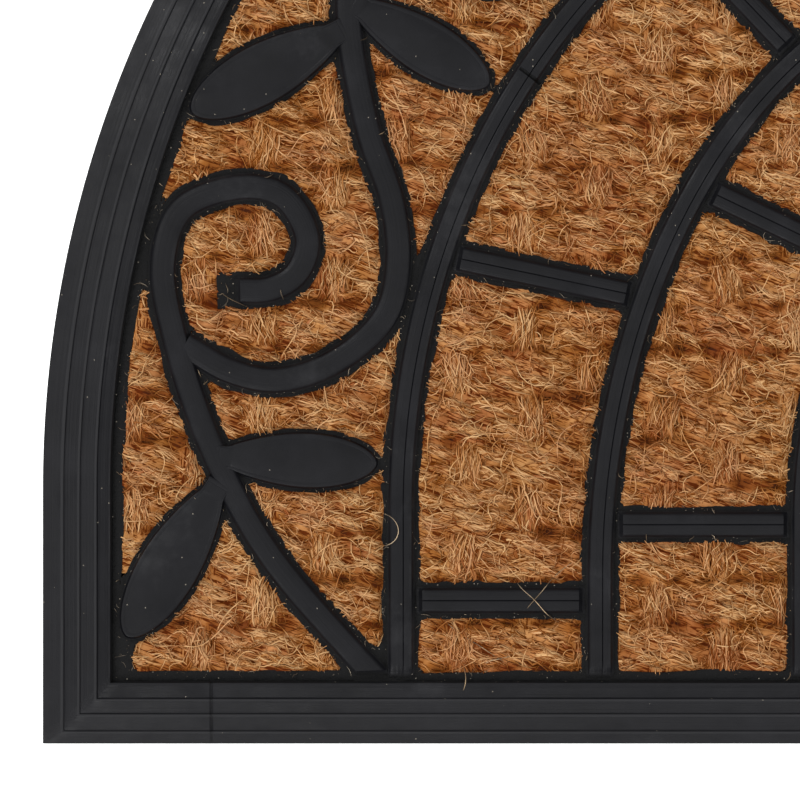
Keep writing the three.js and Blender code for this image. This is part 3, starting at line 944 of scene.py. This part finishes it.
# Turn in radians, and cycles per metre, of the strands on top of the yarns and on top of the bundles
PANEL_STRANDS = ((0.35, (150, 1300, 1)), (0.05, (1300, 150, 1)))
PANEL_COLUMNS = 261
PANEL_GAP = 0.3  # between the panel and the rubber round it and under it
PANEL_TIP = 1.0  # its last row stops this far from the crown
PANEL_SUNK = 0.25  # it lies this much lower than the weave's top, which the fibres make
PANEL_TONE = 0.76  # where the weave is highest
FULL_DEPTH = 5  # from the floor of a hole to there
DEPTH_CURVE = 1.2  # over 1, so that the painted shade on the low parts of the weave deepens faster
PANEL_RUSTINESS = (0.35, (12, 0.5, 32))  # its middle, and its drift


def in_hole(x, y):
    """How deep in a hole of the weave a place is, from 0 to 1: the mask of the painted shade in the holes.

    A hole lies where a bundle's edge passes between two pairs of yarns. Its depth is steepness *
    (1 - distance / size), and each hole takes one of the sizes by its number.
    """
    pull = pulled(x, y)
    u = (x + pull[0] - BUNDLE_START) / BUNDLE_PITCH
    v = (PAIR_START - y - pull[1]) / PAIR_PITCH
    bundle, row = np.round(u), np.floor(v)
    side = np.sign(u - bundle)
    from_hole = np.hypot(
        (u - bundle) * BUNDLE_PITCH - side * BUNDLE_HALF, (v - row - 0.5) * PAIR_PITCH * HOLE_STRETCH
    )
    hole = (bundle * 2 + side + row * 7).astype(int)
    size = HOLE_SIZES[hole % len(HOLE_SIZES)] * HOLE_STRETCH
    depth = HOLE_STEEPNESS - HOLE_STEEPNESS * from_hole / np.maximum(size, LEAST_HOLE)
    return np.where(size > 0, depth, 0).clip(0, 1)


def coir_fibre(name, tones, rusts, strands, depth):
    """Coconut fibre: a tone per point picks its colour from dark to pale, and rust how red-brown it is.

    Strands is a texture that runs along the fibres. It parts a lock into its single fibres, by colour and
    bump, with crisp gaps of painted shade. A ribbon's edges, marked by its rim, get painted shade like a
    round fibre's sides.
    """
    material, shader = new_material(name)
    tone = mark(material, "tone")
    height = strands(material)
    parting = [change * depth for change in PARTING]
    strand = rescaled(material, height, STRAND_EDGE, parting, interpolation_type="SMOOTHSTEP")
    side = calculated(material, "ABSOLUTE", mark(material, "rim"))
    edge = rescaled(material, side, (RIM_START, 1), (0, -RIM_SHADE))
    lightest = calculated(material, "ADD", tone, calculated(material, "ADD", strand, edge))
    darkest = calculated(material, "MINIMUM", tone, DARK_TONE)
    shifted = calculated(material, "MAXIMUM", lightest, darkest)
    golden, reddish = (add_ramp(material, shifted, stops) for stops in (tones, rusts))
    bump = add_node(material, "Bump", {"Height": height, "Strength": 0.8, "Distance": 0.00025})
    feed(
        material,
        shader,
        {
            "Base Color": mixed(material, mark(material, "rust"), golden, reddish),
            "Normal": bump.outputs["Normal"],
            "Roughness": 0.65,
            "Specular IOR Level": 0.03,
        },
    )
    return material


def lock_strands(material):
    """Wavy noise that is long along a lock and narrow across it, from the lock's own place mark."""
    return noise(material, mark(material, "lock", "Vector"), Scale=1, Detail=1, Distortion=0.6)


def panel_strands(material):
    """Wavy noise drawn out along the yarns' lumps, and up the mat where the bundles are on top."""
    place = add_node(material, "TexCoord", {}).outputs["Object"]
    layers = []
    for angle, stretch in PANEL_STRANDS:
        turned = add_node(material, "VectorRotate", {"Vector": place, "Angle": angle}, rotation_type="Z_AXIS")
        drawn = vector_math(material, "MULTIPLY", turned.outputs[0], stretch)
        layers.append(noise(material, drawn, Scale=1, Detail=3, Distortion=1.2))
    return blended(material, mark(material, "upright"), *layers)


panel_side, panel_front = LIP[-1, :2] + PANEL_GAP
panel_crown = DEPTH - SPRING - panel_side
rows_y = np.concatenate(
    [
        np.linspace(panel_front, SPRING, int((SPRING - panel_front) / WEAVE_STEP), endpoint=False),
        SPRING + np.linspace(0, panel_crown - PANEL_TIP, int(panel_crown / WEAVE_STEP)),
    ]
)
half_widths = (WIDTH / 2 - panel_side) * np.sqrt(1 - (np.maximum(rows_y - SPRING, 0) / panel_crown) ** 2)
panel_x = half_widths[:, None] * np.linspace(-1, 1, PANEL_COLUMNS)
panel_y = np.tile(rows_y[:, None], (1, PANEL_COLUMNS))
yarns, bundles = weave(panel_x, panel_y)
woven = np.maximum(yarns, bundles) - PANEL_SUNK
panel_top = np.stack([panel_x, panel_y, pressed(panel_x, panel_y, woven)], axis=-1)
count = panel_x.size
number = np.arange(count).reshape(panel_x.shape)
rim = np.concatenate([number[0], number[1:, -1], number[-1, -2::-1], number[-2:0:-1, 0]])
foot = panel_top.reshape(-1, 3)[rim] * (1, 1, 0) + (0, 0, BACKING_TOP + PANEL_GAP)
foot_numbers = count + np.arange(len(rim))
skirt = np.column_stack([foot_numbers, np.roll(foot_numbers, -1), np.roll(rim, -1), rim])
# Painted shade: the panel gets darker the lower the weave lies, and goes dark in its holes
shaded_depth_tone = ((woven - HOLE_FLOOR) / FULL_DEPTH).clip(0, 1) ** DEPTH_CURVE * PANEL_TONE
rustiness, rust_drift = PANEL_RUSTINESS
panel_marks = {
    "tone": shaded_depth_tone * (1 - in_hole(panel_x, panel_y)),
    "rust": (rustiness + drift(panel_x, panel_y, *rust_drift)).clip(0, 1),
    "upright": (bundles > yarns).astype(float),
}
coir_panel = make_piece(
    "coir_panel",
    np.concatenate([panel_top.reshape(-1, 3), foot]),
    [grid_quads(*panel_x.shape), skirt, foot_numbers[None, ::-1]],
    coir_fibre("coir_yarn", PANEL_GOLD, PANEL_RUST, panel_strands, depth=0.75),
    **{name: np.concatenate([values.ravel(), np.zeros(len(rim))]) for name, values in panel_marks.items()},
)
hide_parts("coir_mat")

# Fibres of the yarns
# Each ply is a roving of stiff, curly coconut fibres. They run along it and wind round the yarn with it, in
# locks of a few side by side and as single ones, which lap a little over the rubber.
# Colours of the fibres by tone. Those from the gaps' tone down are painted shade, in the gaps between fibres
# and in the weave's holes
FIBRE_GOLD = [
    (0.0, (0.034, 0.010, 0.003)),
    (DARK_TONE, (0.112, 0.028, 0.002)),
    (0.5, (0.315, 0.127, 0.034)),
    (1.0, (0.48, 0.288, 0.134)),
]
FIBRE_RUST = [
    (0.0, (0.034, 0.009, 0.004)),
    (DARK_TONE, (0.097, 0.020, 0.002)),
    (0.5, (0.245, 0.079, 0.024)),
    (1.0, (0.42, 0.215, 0.099)),
]
fibre_material = coir_fibre("coir_fibre", FIBRE_GOLD, FIBRE_RUST, lock_strands, depth=0.82)
UNDER_RUBBER = 2.5  # fibres whose middle is further than this under the rubber are left out
UNDER_BORDER = 12.0  # and so are those with any point further than this under it
MOST_LAP = 0.7  # how far the least held single fibres lap over the flash
LAP_SHARES = (-0.5, 1)  # each fibre laps by its own share of it, and not at all below zero
NARROWED = 0.6  # share of its width that a fibre loses at its ends
ARCH_CURVE = 0.7  # under 1, so that a lifted fibre rises steeply at its ends
TONE_LIMITS = (0.01, 0.99)
FIBRE_WIDTHS = (0.3, 0.5)
LOCK_WIDTHS = (0.6, 1.1)  # a lock is a few fibres side by side
STRAND_LENGTH = 6.0  # of the strands that a lock is parted into
STRAND_WIDTH = 0.3
LOCKS_APART = 900  # each lock's strands are read from its own place in the noise, up to this far along
# Drifts of tone and of rust over large patches and over those of a ply's lump: size, amount and seed
TONE_DRIFTS = ((60, 0.16, 58286), (7, 0.11, 31))
RUST_DRIFTS = ((13, 0.42, 32), (6, 0.3, 33))
RUSTINESS = 0.28
MOTTLE = 0.04  # spread of the tone from point to point
DARK_BELOW = 5.3  # painted shade: fibres get darker from full height down to this one
DEPTH_OF_SHADE = 2.6
DEEP_TONE = 0.41  # share of its tone that a fibre keeps at the bottom
END_SHADE = 0.3  # share of its tone that it loses at its ends
PLY_POINTS = 7
PLY_LENGTHS = (7, 13)
PLY_ROUND = 1.35  # fibres start up to this far round their ply from its top, in radians
PLY_SLANT = 1.5  # spread of how far round it they run
PLY_WAVES = (0.5, 1.5)  # largest wave on a fibre in radians, and its cycles
TOWARDS_TOP = 0.35  # share of the way that a fibre is moved to where its ply is highest
COVERED_HALF = 3.0  # this near to a bundle's middle, the yarns under it have no fibres of their own
PLY_TONE_SPREAD = 0.15  # from one fibre to the next
PLY_RUST_SPREAD = 0.16


def scatter(count, under=UNDER_RUBBER, beside=np.inf):
    """Random places on the mat, thinned to those from so far under the rubber to so far beside it."""
    spots = rng.uniform((-WIDTH / 2, 0), (WIDTH / 2, DEPTH), (count, 2))
    clear = clearance(spots[:, 0], spots[:, 1])
    return spots[(clear > -under) & (clear < beside)]


def patch_tone(x, y):
    """Tone and rust of the coir at a place."""
    return drifts(x, y, TONE_DRIFTS), drifts(x, y, RUST_DRIFTS, RUSTINESS)


def tapered(width, share):
    """Width along a fibre: it keeps most of it, and narrows towards both ends."""
    return width * (1 - NARROWED * np.abs(2 * share - 1) ** 4)


def arched(lift, share):
    """Height along a fibre that is lifted in the middle and held at both ends."""
    return lift * np.sin(np.pi * share) ** ARCH_CURVE


def waves(share, count, largest, cycles):
    """A wave along each fibre, of its own size and start: size * sin(cycles of share + start)."""
    size = rng.uniform(0, largest, (count, 1))
    return size * np.sin(2 * np.pi * (cycles * share + rng.uniform(0, 1, (count, 1))))


def fibres(name, left, right, tone, rust, material=fibre_material, under_rubber=True, lap=MOST_LAP):
    """Ribbons between two edges, each edge an array of fibres by points by x, y and height in the free weave.

    A fibre gets painted shade where it lies deep in the weave and in the weave's holes, and its ends are
    darker than its middle. Where the rubber is over it, it is pressed down with the rest.
    """
    middle = (left + right) / 2
    kept = clearance(middle[..., 0], middle[..., 1]).min(axis=1) > -UNDER_BORDER
    left, right, middle, tone, rust = (values[kept] for values in (left, right, middle, tone, rust))
    count, points = left.shape[:2]
    slack = (rng.uniform(*LAP_SHARES, (count, 1)) * lap).clip(0, None)
    if under_rubber:
        for edge in (left, right):
            edge[..., 2] = pressed(edge[..., 0], edge[..., 1], edge[..., 2], slack)
    corners = np.arange(points - 1)[:, None] * 2 + [0, 1, 3, 2]
    quads = corners[None] + np.arange(count)[:, None, None] * points * 2
    patch = patch_tone(middle[:, :, 0], middle[:, :, 1])
    # Painted shade: the deeper a fibre lies in the weave the darker it is, and in a hole of the weave it goes
    # dark
    depth = ((middle[:, :, 2] - DARK_BELOW) / DEPTH_OF_SHADE).clip(0, 1)
    open_weave = 1 - in_hole(middle[:, :, 0], middle[:, :, 1])
    ends = 1 - END_SHADE * np.abs(np.linspace(-1, 1, points)) ** 4
    tone = tone[:, None] + patch[0] + rng.normal(0, MOTTLE, (count, points))
    tone = tone * (DEEP_TONE + (1 - DEEP_TONE) * depth) * ends * open_weave
    along = np.concatenate(
        [np.zeros((count, 1)), np.cumsum(np.linalg.norm(np.diff(middle, axis=1), axis=2), axis=1)], axis=1
    )
    across = np.linalg.norm(left - right, axis=2)[:, :, None] * (0.5, -0.5)
    lock = np.stack(
        [
            np.repeat(along[:, :, None], 2, axis=2) / STRAND_LENGTH,
            across / STRAND_WIDTH,
            np.broadcast_to(rng.uniform(0, LOCKS_APART, (count, 1, 1)), across.shape),
        ],
        axis=-1,
    )
    piece = make_piece(
        name,
        np.stack([left, right], axis=2),
        [quads.reshape(-1, 4)],
        material,
        tone=np.repeat(tone.clip(*TONE_LIMITS), 2, axis=1).ravel(),
        rust=np.repeat((patch[1] + rust[:, None]).clip(0, 1), 2, axis=1).ravel(),
        lock=lock.reshape(-1, 3),
        rim=np.tile([1.0, -1.0], count * points),
    )
    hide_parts("coir_mat")


def in_weave(u, v, height):
    """Points of the mat for places in the weave, which has been pulled out of square."""
    pull = pulled(u, v)
    return np.stack([u - pull[0], v - pull[1], height], axis=-1)


def ply_fibres(name, count, widths, lift, tone, lap):
    """Fibres along the plies.

    A fibre lies at its own angle round its ply, and the ply's middle winds round the yarn's: it is out to
    the side by -offset * sin(turn) and up by offset * cos(turn). Each fibre is laid where its ply is on top.
    """
    spots = scatter(count)
    pull = pulled(spots[:, 0], spots[:, 1])
    u, v = spots[:, 0] + pull[0], spots[:, 1] + pull[1]
    bundle = np.round((u - BUNDLE_START) / BUNDLE_PITCH)
    yarn, yarn_v = yarn_at(v)
    from_bundle = np.abs(u - BUNDLE_START - bundle * BUNDLE_PITCH)
    covered = (from_bundle < COVERED_HALF) & ((bundle + yarn // 2) % 2 == 0)
    u, v, yarn, yarn_v = (values[~covered] for values in (u, v, yarn, yarn_v))
    half_turns = np.round(yarn_turn(u, yarn) / np.pi)
    from_top = (yarn_turn(u, yarn) / np.pi - half_turns) * TWIST_LENGTH / 2
    share = np.linspace(0, 1, PLY_POINTS)
    each = (len(u), 1)
    length = rng.uniform(*PLY_LENGTHS, each)
    along = (u - TOWARDS_TOP * from_top)[:, None] + length * (share - 0.5)
    turn = yarn_turn(along, yarn[:, None]) - np.pi * half_turns[:, None]
    wave = waves(share, len(u), *PLY_WAVES)
    start = rng.uniform(-PLY_ROUND, PLY_ROUND, each)
    round_ply = start + rng.normal(0, PLY_SLANT, each) * (share - 0.5) + wave
    radius = PLY_RADIUS + arched(rng.uniform(0, lift, each), share)
    width = tapered(rng.uniform(*widths, each), share)
    edges = []
    for side in (1, -1):
        angle = round_ply + side * width / 2 / PLY_RADIUS
        out = -PLY_OFFSET * np.sin(turn) + radius * np.sin(angle)
        up = PLY_OFFSET * np.cos(turn) + radius * np.cos(angle)
        height = yarn_middle(along, yarn[:, None]) + FLATTENED * up
        edges.append(in_weave(along, yarn_v[:, None] + out, height))
    tones, rusts = rng.normal(tone, PLY_TONE_SPREAD, len(u)), rng.normal(0, PLY_RUST_SPREAD, len(u))
    fibres(name, *edges, tones, rusts, lap=lap)


# The locks lie under the single fibres and get a darker tone, painted shade of the lower layer
ply_fibres("yarn_locks", 32000, LOCK_WIDTHS, lift=0.25, tone=0.53, lap=0)
ply_fibres("yarn_fibres", 31000, FIBRE_WIDTHS, lift=0.6, tone=0.69, lap=MOST_LAP)

# Fibres of the bundles
# The bundles are hardly twisted. Their fibres run up the mat in two or three loose strands, over one pair of
# yarns and under the next.
STRAND_PLACES = np.array([-0.62, 0.05, 0.66])  # across a bundle's half width
STRAND_SPREAD = 0.2  # of the fibres about their strand's place
PLACE_LIMIT = 1.15
# Each stretch of a bundle on top of a pair is moved aside, is as wide and leans by its own amount
STRETCHES = 97
stretch_rng = np.random.default_rng(17)
STRETCH_SHIFTS = stretch_rng.normal(0, 0.7, STRETCHES)
STRETCH_HALVES = stretch_rng.uniform(3.8, 5.0, STRETCHES)
STRETCH_LEANS = stretch_rng.normal(0, 0.16, STRETCHES)
STRAND_POINTS = 6
STRAND_LENGTHS = (8, 17)
STRAND_SLIDE = 2.4  # spread of the fibres along the bundle
STRAND_BEND = 1.5
STRAND_SLANT = 0.3
STRAND_WAVES = (0.7, 1.3)  # largest wave on a fibre, and its cycles
STRAND_TILT = 0.6
STRAND_TONE_SPREAD = 0.15  # from one fibre to the next
STRAND_RUSTS = (0.1, 0.2)  # their mean and spread
DOME_END = 1.1  # a fibre follows a bundle's dome as far out as this share of its half width


def bundle_strands(name, count, widths, lift, tone, lap):
    """Fibres up a bundle: each keeps its place across the dome, and rises and dips with the bundle."""
    spots = scatter(count)
    pull = pulled(spots[:, 0], spots[:, 1])
    bundle = np.round((spots[:, 0] + pull[0] - BUNDLE_START) / BUNDLE_PITCH)
    pair = np.round((PAIR_START - spots[:, 1] - pull[1]) / PAIR_PITCH)
    on_top = (bundle + pair) % 2 == 0
    bundle, pair = bundle[on_top], pair[on_top]
    number = len(bundle)
    each = (number, 1)
    stretch = (bundle * 7 + pair * 13).astype(int) % STRETCHES
    shift, half, lean = (values[stretch] for values in (STRETCH_SHIFTS, STRETCH_HALVES, STRETCH_LEANS))
    place = rng.choice(STRAND_PLACES, number) + rng.normal(0, STRAND_SPREAD, number)
    share = np.linspace(0, 1, STRAND_POINTS)
    reach = rng.uniform(*STRAND_LENGTHS, each) * (share - 0.5) + rng.normal(0, STRAND_SLIDE, each)
    bend = rng.normal(0, STRAND_BEND, each) * (2 * share - 1) ** 2
    sway = waves(share, number, *STRAND_WAVES)
    slant = lean + rng.normal(0, STRAND_SLANT, number)
    across = (place.clip(-PLACE_LIMIT, PLACE_LIMIT) * half)[:, None] + reach * slant[:, None] + bend + sway
    along = (PAIR_START - pair * PAIR_PITCH)[:, None] + reach
    raised = arched(rng.uniform(0, lift, each), share)
    width = tapered(rng.uniform(*widths, each), share)
    tilt = rng.uniform(-STRAND_TILT, STRAND_TILT, each)
    rise = np.cos(np.pi * reach / PAIR_PITCH)
    edges = []
    for side in (1, -1):
        out = across - side * width / 2
        dome = BUNDLE_RISE * (1 - np.abs(out / BUNDLE_HALF).clip(0, DOME_END) ** 3)
        height = MIDDLE_HEIGHT + dome + SWING * rise + raised + side * width / 2 * tilt
        u = (BUNDLE_START + bundle * BUNDLE_PITCH + shift)[:, None] + out
        edges.append(in_weave(u, along, height))
    tones, rusts = rng.normal(tone, STRAND_TONE_SPREAD, number), rng.normal(*STRAND_RUSTS, number)
    fibres(name, *edges, tones, rusts, lap=lap)


# The locks lie under the single fibres and get a darker tone, painted shade of the lower layer
bundle_strands("bundle_locks", 22000, LOCK_WIDTHS, lift=0.2, tone=0.49, lap=0)
bundle_strands("bundle_fibres", 20000, FIBRE_WIDTHS, lift=0.8, tone=0.66, lap=MOST_LAP)

# Loose fibres
# Fibres that have sprung out of the weave lie on it in all directions, long and curly. Short bits of them,
# and crumbs of husk, have also stuck to the flash and the lip.
CURL_CYCLES = (0.4, 1.5)  # fewest and most waves along a fibre
CURL_SWING = 0.8  # the largest wave, as a share of the curl
RIBBON_TILT = 0.05  # one edge of a ribbon is this much higher, and the other lower
BAR_CLIMB = (1.0, 1.2)  # a bar starts to rise this far in from its flash's edge, and has risen after this
DUST_HEIGHT = 0.12  # lint lies this much above the flash
BAR_HEIGHT = 2.95  # a bar's top above the flash


def mostly_short(count, shortest, longer, power):
    """Random lengths that bunch near the shortest: shortest + longer * a random share to a power."""
    return shortest + rng.uniform(0, 1, count) ** power * longer


def lay_fibres(
    name, spots, heading, length, width, surface, lift, tone, rust, curl, points=10, bend=None, **finish
):
    """Ribbons along lines that turn as they go: heading + bend * share + wave * sin(cycles of share).

    Both edges of a ribbon lie on the surface under them, lifted in the middle of its length.
    """
    count = len(spots)
    share = np.linspace(0, 1, points)
    bend = rng.normal(0, curl, count) if bend is None else bend
    swing = rng.uniform(0, curl, (count, 1)) * CURL_SWING
    cycles = rng.uniform(*CURL_CYCLES, (count, 1))
    turn = 2 * np.pi * (cycles * share + rng.uniform(0, 1, (count, 1)))
    angle = heading[:, None] + bend[:, None] * (share - 0.5) + swing * np.sin(turn)
    step = (length / (points - 1))[:, None, None]
    line = np.stack([np.cos(angle), np.sin(angle)], axis=-1) * step
    line = spots[:, None] + np.cumsum(line, axis=1) - line.sum(axis=1, keepdims=True) / 2
    left = np.stack([-np.sin(angle), np.cos(angle)], axis=-1)
    half = tapered(width[:, None] / 2, share)[..., None]
    raised = arched(lift[:, None], share)
    edges = []
    for side in (1, -1):
        edge = line + side * left * half
        height = surface(edge[..., 0], edge[..., 1]) + raised + RIBBON_TILT * side
        edges.append(np.concatenate([edge, height[..., None]], axis=-1))
    fibres(name, *edges, tone, rust, **finish)


def coir_top(x, y):
    """Top of the free weave: the higher of its yarns and its bundles."""
    return np.maximum(*weave(x, y))


def rubber_or_coir(x, y):
    """Top of whatever is there: the pressed coir, the flash, or a bar that rises from its flash."""
    climb = ((-clearance(x, y) - BAR_CLIMB[0]) / BAR_CLIMB[1]).clip(0, 1)
    return np.maximum(pressed(x, y, coir_top(x, y)), FLASH_TOP + DUST_HEIGHT + BAR_HEIGHT * climb)


spots = scatter(13500)
lay_fibres(
    "tangled_fibres",
    spots,
    heading=rng.normal(-0.2, 0.9, len(spots)) + np.pi / 2 * (rng.uniform(0, 1, len(spots)) < 0.35),
    length=rng.uniform(4, 13, len(spots)),
    width=rng.uniform(0.22, 0.38, len(spots)),
    surface=coir_top,
    lift=rng.uniform(0.05, 0.6, len(spots)),
    tone=rng.normal(0.69, 0.19, len(spots)),
    rust=rng.normal(0, 0.22, len(spots)),
    points=6,
    curl=1.0,
)

spots = scatter(10500)
lay_fibres(
    "loose_fibres",
    spots,
    heading=rng.uniform(0, 2 * np.pi, len(spots)),
    length=mostly_short(len(spots), 5, 22, 1.6),
    width=rng.uniform(0.22, 0.34, len(spots)),
    surface=coir_top,
    lift=rng.uniform(0.2, 1.3, len(spots)),
    tone=rng.normal(0.8, 0.17, len(spots)),
    rust=rng.normal(-0.1, 0.2, len(spots)),
    curl=1.7,
)

spots = scatter(1500)
lay_fibres(
    "husk_crumbs",
    spots,
    heading=rng.normal(0, 0.8, len(spots)) + np.pi / 2 * rng.integers(0, 2, len(spots)),
    length=rng.uniform(1.5, 4.5, len(spots)),
    width=rng.uniform(0.5, 1.5, len(spots)),
    surface=coir_top,
    lift=rng.uniform(0.1, 0.35, len(spots)),
    tone=rng.normal(0.34, 0.12, len(spots)),
    rust=rng.uniform(0.4, 0.9, len(spots)),
    points=4,
    curl=0.3,
)

# Lint and single hairs on the rubber have lost their colour to dust
lint_material = coir_fibre(
    "pale_lint",
    [(0.0, (0.05, 0.042, 0.034)), (0.5, (0.16, 0.135, 0.105)), (1.0, (0.42, 0.36, 0.27))],
    [(0.0, (0.05, 0.035, 0.022)), (0.5, (0.15, 0.105, 0.062)), (1.0, (0.38, 0.27, 0.16))],
    lock_strands,
    depth=0.6,
)
LINT_REACH = 1.5  # lint lies on the flash up to this far in from its edge
spots = scatter(46000, under=LINT_REACH, beside=0)
lay_fibres(
    "lint",
    spots,
    heading=rng.uniform(0, 2 * np.pi, len(spots)),
    length=mostly_short(len(spots), 0.25, 3.5, 5),
    width=rng.uniform(0.1, 0.24, len(spots)),
    surface=rubber_or_coir,
    lift=rng.uniform(0.05, 0.3, len(spots)),
    tone=rng.normal(0.55, 0.25, len(spots)),
    rust=rng.normal(0, 0.3, len(spots)),
    points=4,
    curl=1.0,
    material=lint_material,
    under_rubber=False,
)

# Single long hairs that lie across the rubber: middle (x, y), heading and bend in degrees, and length
HAIRS = np.array(
    [
        [-149.9, 43.5, -45, 15, 17.6],
        [-145.6, 48.0, 46, -20, 21.6],
        [-197.6, 65.1, -90, -170, 15.5],
        [-172.3, 19.5, 84, 25, 7.5],
        [-169.0, 31.5, -36, 20, 23.0],
        [-162.3, 25.0, 17, -25, 9.0],
        [-242.1, 135.1, -28, 15, 9.0],
        [-227.4, 136.6, -75, 10, 3.2],
    ]
)
lay_fibres(
    "hairs",
    HAIRS[:, :2],
    heading=np.radians(HAIRS[:, 2]),
    length=HAIRS[:, 4],
    width=np.full(len(HAIRS), 0.22),
    surface=rubber_or_coir,
    lift=np.full(len(HAIRS), 0.4),
    tone=np.full(len(HAIRS), 0.85),
    rust=np.full(len(HAIRS), 0.6),
    points=14,
    curl=0.2,
    bend=np.radians(HAIRS[:, 3]),
    material=lint_material,
    under_rubber=False,
)

# Floor
# A plain white sheet under the mat. It glows a little, as if lit from below, so that the mat's shadow on it
# hardly shows.
FLOOR_GAP = 0.0002  # between the mat and the floor
FLOOR_LOOKS = {
    "Base Color": (0.9, 0.9, 0.9, 1),
    "Roughness": 0.9,
    "Emission Color": (1, 1, 1, 1),
    "Emission Strength": 0.6,
}
floor_material, floor_shader = new_material("white_floor")
feed(floor_material, floor_shader, FLOOR_LOOKS)
bpy.ops.mesh.primitive_plane_add(size=6, location=(0, 0, -FLOOR_GAP))
floor = bpy.context.object
floor.name = "floor"
floor.data.materials.append(floor_material)

# Lights
# Plain studio light: a wide soft box over the mat, a smaller one beyond the crown on the left, weaker ones in
# front and on the right, and an even white surround.
bpy.context.scene.view_settings.view_transform = "Standard"
world = bpy.data.worlds.new("studio")
world.use_nodes = True
world.node_tree.nodes["Background"].inputs["Color"].default_value = (1, 1, 1, 1)
world.node_tree.nodes["Background"].inputs["Strength"].default_value = 0.42
bpy.context.scene.world = world


def soft_box(name, place, size, power):
    """A square light at a place, turned to face the mat."""
    light = bpy.data.lights.new(name, "AREA")
    light.size = size
    light.energy = power
    lamp = bpy.data.objects.new(name, light)
    x, y, z = place
    lamp.location = place
    lamp.rotation_euler = (np.arctan2(np.hypot(x, y), z), 0, np.arctan2(y, x) + np.pi / 2)
    bpy.context.scene.collection.objects.link(lamp)


soft_box("overhead", (-0.3, -0.2, 2.2), 3.0, 32)
soft_box("key", (-1.3, 0.9, 1.3), 0.8, 22)
soft_box("front", (-0.8, -1.3, 1.0), 0.9, 17)
soft_box("side", (1.0, -0.4, 1.0), 0.9, 10)

# Camera
# It looks straight down on the left front corner of the mat from three metres above it, through a long lens
# that hardly shows the bars' sides.
CAMERA_HEIGHT = 3.0
SEEN_WIDTH = 0.2432
LOOKS_AT = (-0.1915, -0.0955, 0.0088)  # the middle of the picture, at the height of the bars' tops
camera = bpy.data.cameras.new("camera")
camera.sensor_width = 36
camera.lens = camera.sensor_width * CAMERA_HEIGHT / SEEN_WIDTH
camera_object = bpy.data.objects.new("camera", camera)
camera_object.location = np.add(LOOKS_AT, (0, 0, CAMERA_HEIGHT))
bpy.context.scene.collection.objects.link(camera_object)
bpy.context.scene.camera = camera_object
